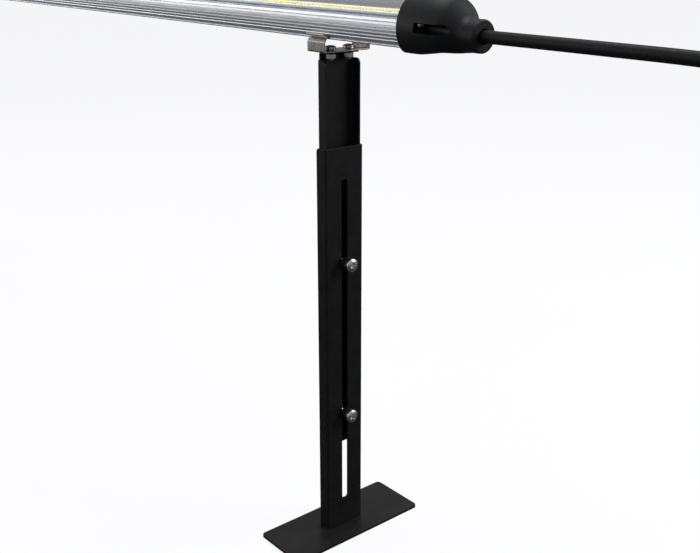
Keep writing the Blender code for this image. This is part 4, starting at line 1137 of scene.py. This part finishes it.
class LIGHTBAR_OT_cord(bpy.types.Operator):
    """Adds the power cord with its coil, tie and plug"""

    bl_idname = "light_bar.add_cord"
    bl_label = "Power cord"

    def execute(self, context):
        sizes = context.scene.light_bar_sizes
        path = cord_path(sizes.points_per_turn)
        cord = add_piece("power_cord", tube_mesh(path, sizes.cable_diameter / 2), [cable_rubber], None,
                         ["cable", "cable_coil", "cable_tail"])
        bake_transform(cord)
        rear = Matrix.Translation(PLUG_REAR) @ Matrix.Rotation(math.pi / 2, 4, "Z")
        pieces = [add_piece("moulded_plug", plug_mesh(), [cable_rubber], "near_foot",
                            ["plug_body"], rear)]
        upright = Matrix.Rotation(math.pi / 2, 4, "X")
        for name, node, make_mesh, y, z, turn in (
                ("left_contact", "left_plug_blade", blade_mesh, 6.35, 3.6, upright),
                ("right_contact", "right_plug_blade", blade_mesh, -6.35, 3.6, upright),
                ("ground_contact", "plug_ground_pin", pin_mesh, 0.0, -5.0, AXIS_X)):
            place = rear @ Matrix.Translation(mm(57.3, y, z)) @ turn
            pieces.append(add_piece(name, make_mesh(), [contact_brass], "near_foot", [node],
                                    place))
        radial = Matrix(((0, 0, -1, 0), (-1, 0, 0, 0), (0, 1, 0, 0), (0, 0, 0, 1)))
        pieces.append(add_piece("coil_tie", tie_mesh(sizes.cable_diameter), [woven_tie], "near_foot",
                                place=Matrix.Translation(COIL_CENTRE) @ radial))
        return {"FINISHED"}


class LIGHTBAR_OT_feet(bpy.types.Operator):
    """Adds both feet: plate, outer channel and welds"""

    bl_idname = "light_bar.add_feet"
    bl_label = "Feet"

    def execute(self, context):
        sizes = context.scene.light_bar_sizes
        for side in SIDES:
            body = side + "_foot"
            add_piece(side + "_plate", plate_mesh(sizes.edge_radius), [powder_coat], body,
                      [side + "_foot_plate"],
                      stand_place(side, x=-CHANNEL_DEPTH / 2))
            add_piece(side + "_post", post_mesh(sizes.edge_radius), [powder_coat], body,
                      [side + "_outer_channel"],
                      stand_place(side, z=PLATE_TOP + GAP))
            add_piece(side + "_weld", weld_mesh(sizes.weld_leg), [powder_coat], body,
                      place=stand_place(side))
        return {"FINISHED"}


class LIGHTBAR_OT_sliders(bpy.types.Operator):
    """Adds both inner channels with their clamping screws, bushes and nuts"""

    bl_idname = "light_bar.add_sliders"
    bl_label = "Sliders"

    def execute(self, context):
        edge = context.scene.light_bar_sizes.edge_radius
        seat = 2 * GAP + BUSH_LENGTH
        nut_front = CHANNEL_DEPTH + GAP
        length = seat + nut_front + M6_NUT[1] + M6_TAIL
        for side in SIDES:
            add_piece(side + "_slider", slider_mesh(edge), [powder_coat], "light",
                      [side + "_inner_channel"], stand_place(side, z=SLIDER_BOTTOM))
            for level, z in (("lower", LOWER_SCREW), ("upper", UPPER_SCREW)):
                name = side + "_" + level
                add_piece(name + "_screw", screw_mesh(*M6_SCREW, length, "m6_screw"), [turned_steel],
                          "light", [name + "_clamp_screw"],
                          stand_place(side, x=seat, z=z) @ AXIS_X)
                add_piece(name + "_spacer", bush_mesh(), [moulded_plastic], "light",
                          [name + "_bush"], stand_place(side, x=GAP, z=z) @ AXIS_X)
                add_piece(name + "_lock_nut", nut_mesh(*M6_NUT, "m6_nut"), [turned_steel], "light",
                          [name + "_nut"],
                          stand_place(side, x=-nut_front, z=z) @ AXIS_X @ HALF_TURN)
        return {"FINISHED"}


class LIGHTBAR_OT_clips(bpy.types.Operator):
    """Adds both spring clips with their screws and nuts"""

    bl_idname = "light_bar.add_clips"
    bl_label = "Clips"

    def execute(self, context):
        seat = CLIP_BASE + CLIP_SHEET + GAP
        nut_top = TAB_TOP - SHEET - GAP
        length = seat - nut_top + M5_NUT[1] + M5_TAIL
        for side in SIDES:
            add_piece(side + "_spring_clip", clip_mesh(), [brushed_steel], "light",
                      [side + "_clip"], stand_place(side, x=-CLIP_SETBACK, z=CLIP_BASE))
            for place, out in (("front", -CLIP_SCREW_OUT), ("rear", CLIP_SCREW_OUT)):
                name = side + "_" + place
                add_piece(name + "_tab_screw", screw_mesh(*M5_SCREW, length, "m5_screw"),
                          [turned_steel], "light", [name + "_clip_screw"],
                          stand_place(side, -CLIP_SCREW_SETBACK, out, seat))
                add_piece(name + "_tab_nut", nut_mesh(*M5_NUT, "m5_nut"), [turned_steel], "light",
                          [name + "_clip_nut"],
                          stand_place(side, -CLIP_SCREW_SETBACK, out, nut_top) @ HALF_TURN)
        return {"FINISHED"}


class LIGHTBAR_OT_bar(bpy.types.Operator):
    """Adds the housing, the clear cover and the board with its LEDs"""

    bl_idname = "light_bar.add_bar"
    bl_label = "Light bar"

    def execute(self, context):
        sizes = context.scene.light_bar_sizes
        axis = Matrix.Translation((0, 0, BAR_Z)) @ ALONG_X
        add_piece("ribbed_housing", housing_mesh(), [drawn_aluminium], "light",
                  ["housing"], axis)
        cover = add_piece("clear_shell", cover_mesh(), [clear_plastic], "light",
                          ["cover"], axis)
        cover.visible_shadow = False
        refinish("led_board", solder_mask, 0.2 * MM)
        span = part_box("front_led_row")
        run = span[1].x - span[0].x
        count = int(run / sizes.led_pitch)
        for row, out in (("front", -LED_OUT), ("rear", LED_OUT)):
            start = -sizes.led_pitch * (count - 1) / 2
            leds = add_piece(row + "_leds", led_mesh(sizes.led_size), [led_frame, phosphor_with_painted_glow], "light",
                             [row + "_led_row"],
                             Matrix.Translation((start, out, BOARD_TOP + GAP)))
            array = leds.modifiers.new("row", "ARRAY")
            array.count = count
            array.use_relative_offset = False
            array.use_constant_offset = True
            array.constant_offset_displace = (sizes.led_pitch, 0.0, 0.0)
        return {"FINISHED"}


class LIGHTBAR_OT_inside(bpy.types.Operator):
    """Finishes the driver, the terminal block and the leads inside the housing"""

    bl_idname = "light_bar.finish_inside"
    bl_label = "Inside"

    def execute(self, context):
        for node in ("driver", "terminal_block"):
            refinish(node, driver_enamel)
        for node in ("input_lead", "board_lead", "cable_seal"):
            refinish(node, cable_rubber)
        for node in ("near_gasket", "far_gasket"):
            refinish(node, seal_rubber)
        return {"FINISHED"}


class LIGHTBAR_OT_caps(bpy.types.Operator):
    """Adds both end caps with their screws and the far cap's blind plug"""

    bl_idname = "light_bar.add_caps"
    bl_label = "End caps"

    def execute(self, context):
        for side in SIDES:
            add_piece(side + "_cap", cap_mesh(), [moulded_plastic], "light",
                      [side + "_end_cap"], end_place(side))
            for place, out in (("front", -PORT_OUT), ("rear", PORT_OUT)):
                turned_out = out if side == "near" else -out
                name = side + "_" + place
                add_piece(name + "_end_screw", cap_screw_mesh(), [turned_steel], "light",
                          [name + "_cap_screw"],
                          end_place(side, CAP_FLOOR + GAP, turned_out, PORT_UP) @ AXIS_X)
        add_piece("far_stopper", blind_plug_mesh(), [cable_rubber], "light",
                  ["blind_plug"], end_place("far", z=-COLLAR_DROP) @ AXIS_X)
        return {"FINISHED"}


class LIGHTBAR_OT_stage(bpy.types.Operator):
    """Adds the pale floor, the soft lights and the pale surroundings"""

    bl_idname = "light_bar.add_stage"
    bl_label = "Stage"

    def execute(self, context):
        scene = context.scene
        ground = bmesh.new()
        bmesh.ops.create_grid(ground, x_segments=8, y_segments=8, size=30.0)
        dome = bmesh.new()
        bmesh.ops.create_uvsphere(dome, u_segments=48, v_segments=24, radius=40.0)
        for name, shape in (("floor", ground), ("backdrop", dome)):
            surface = bpy.data.objects.new(name, to_mesh(shape, name))
            surface.data.materials.append(material_of(stage_paper))
            surface.visible_glossy = False
            surface.visible_diffuse = False
            surface.visible_transmission = False
            scene.collection.objects.link(surface)
        for name, place, aim, (wide, high), power in (
                ("key_light", (1.9, 1.6, 1.5), (0.6, 0.0, 0.25), (1.2, 1.2), 30.0),
                ("fill_light", (0.6, -2.2, 1.5), (0.5, 0.0, 0.25), (1.2, 1.2), 5.0),
                ("strip_light", (-0.85, -1.0, 0.72), (0.45, 0.0, 0.48), (2.6, 0.42), 6.5),
                ("top_light", (0.2, 0.3, 2.4), (0.3, 0.0, 0.0), (1.4, 1.4), 22.0)):
            lamp = bpy.data.lights.new(name, "AREA")
            lamp.shape = "RECTANGLE"
            lamp.size = wide
            lamp.size_y = high
            lamp.energy = power
            light = bpy.data.objects.new(name, lamp)
            scene.collection.objects.link(light)
            light.location = place
            aside = Vector(aim) - Vector(place)
            light.rotation_euler = aside.to_track_quat("-Z", "Y").to_euler()
        world = bpy.data.worlds.new("studio_surroundings")
        world.use_nodes = True
        tree = world.node_tree
        sky = tree.nodes["Background"]
        sky.inputs["Strength"].default_value = 0.55
        direction = tree.nodes.new("ShaderNodeTexCoord")
        split = tree.nodes.new("ShaderNodeSeparateXYZ")
        height = tree.nodes.new("ShaderNodeMapRange")
        height.inputs["From Min"].default_value = -1.0
        ramp = tree.nodes.new("ShaderNodeValToRGB")
        ramp.color_ramp.elements[0].color = (0.13, 0.127, 0.125, 1.0)
        ramp.color_ramp.elements[1].color = (1.0, 1.0, 1.0, 1.0)
        for position, shade in ((0.34, 0.13), (0.43, 0.34), (0.50, 0.46), (0.60, 0.55), (0.74, 0.85)):
            ramp.color_ramp.elements.new(position).color = (shade, shade, shade * 1.04, 1.0)
        tree.links.new(direction.outputs["Generated"], split.inputs["Vector"])
        tree.links.new(split.outputs["Z"], height.inputs["Value"])
        tree.links.new(height.outputs["Result"], ramp.inputs["Fac"])
        tree.links.new(ramp.outputs["Color"], sky.inputs["Color"])
        scene.world = world
        scene.view_settings.view_transform = "Standard"
        return {"FINISHED"}


class LIGHTBAR_PT_panel(bpy.types.Panel):
    """Shows the light bar's sizes and colours, and a button for each step that adds its pieces"""

    bl_idname = "LIGHTBAR_PT_panel"
    bl_label = "Light Bar on Stands"
    bl_space_type = "VIEW_3D"
    bl_region_type = "UI"
    bl_category = "Light Bar"

    def draw(self, context):
        layout = self.layout
        for settings in (context.scene.light_bar_sizes, context.scene.light_bar_colours):
            column = layout.column(align=True)
            for name in settings.__annotations__:
                column.prop(settings, name)
        for operator in OPERATORS:
            layout.operator(operator.bl_idname)


OPERATORS = (LIGHTBAR_OT_camera, LIGHTBAR_OT_cord, LIGHTBAR_OT_feet, LIGHTBAR_OT_sliders,
             LIGHTBAR_OT_clips, LIGHTBAR_OT_bar, LIGHTBAR_OT_inside, LIGHTBAR_OT_caps,
             LIGHTBAR_OT_stage)
CLASSES = (LightBarSizes, LightBarColours, *OPERATORS, LIGHTBAR_PT_panel)


def register():
    for cls in CLASSES:
        bpy.utils.register_class(cls)
    bpy.types.Scene.light_bar_sizes = PointerProperty(type=LightBarSizes)
    bpy.types.Scene.light_bar_colours = PointerProperty(type=LightBarColours)


def unregister():
    del bpy.types.Scene.light_bar_colours
    del bpy.types.Scene.light_bar_sizes
    for cls in reversed(CLASSES):
        bpy.utils.unregister_class(cls)


def main():
    register()
    bpy.ops.light_bar.add_camera()
    bpy.ops.light_bar.add_cord()
    bpy.ops.light_bar.add_feet()
    bpy.ops.light_bar.add_sliders()
    bpy.ops.light_bar.add_clips()
    bpy.ops.light_bar.add_bar()
    bpy.ops.light_bar.finish_inside()
    bpy.ops.light_bar.add_caps()
    bpy.ops.light_bar.add_stage()


if __name__ == "__main__":
    main()
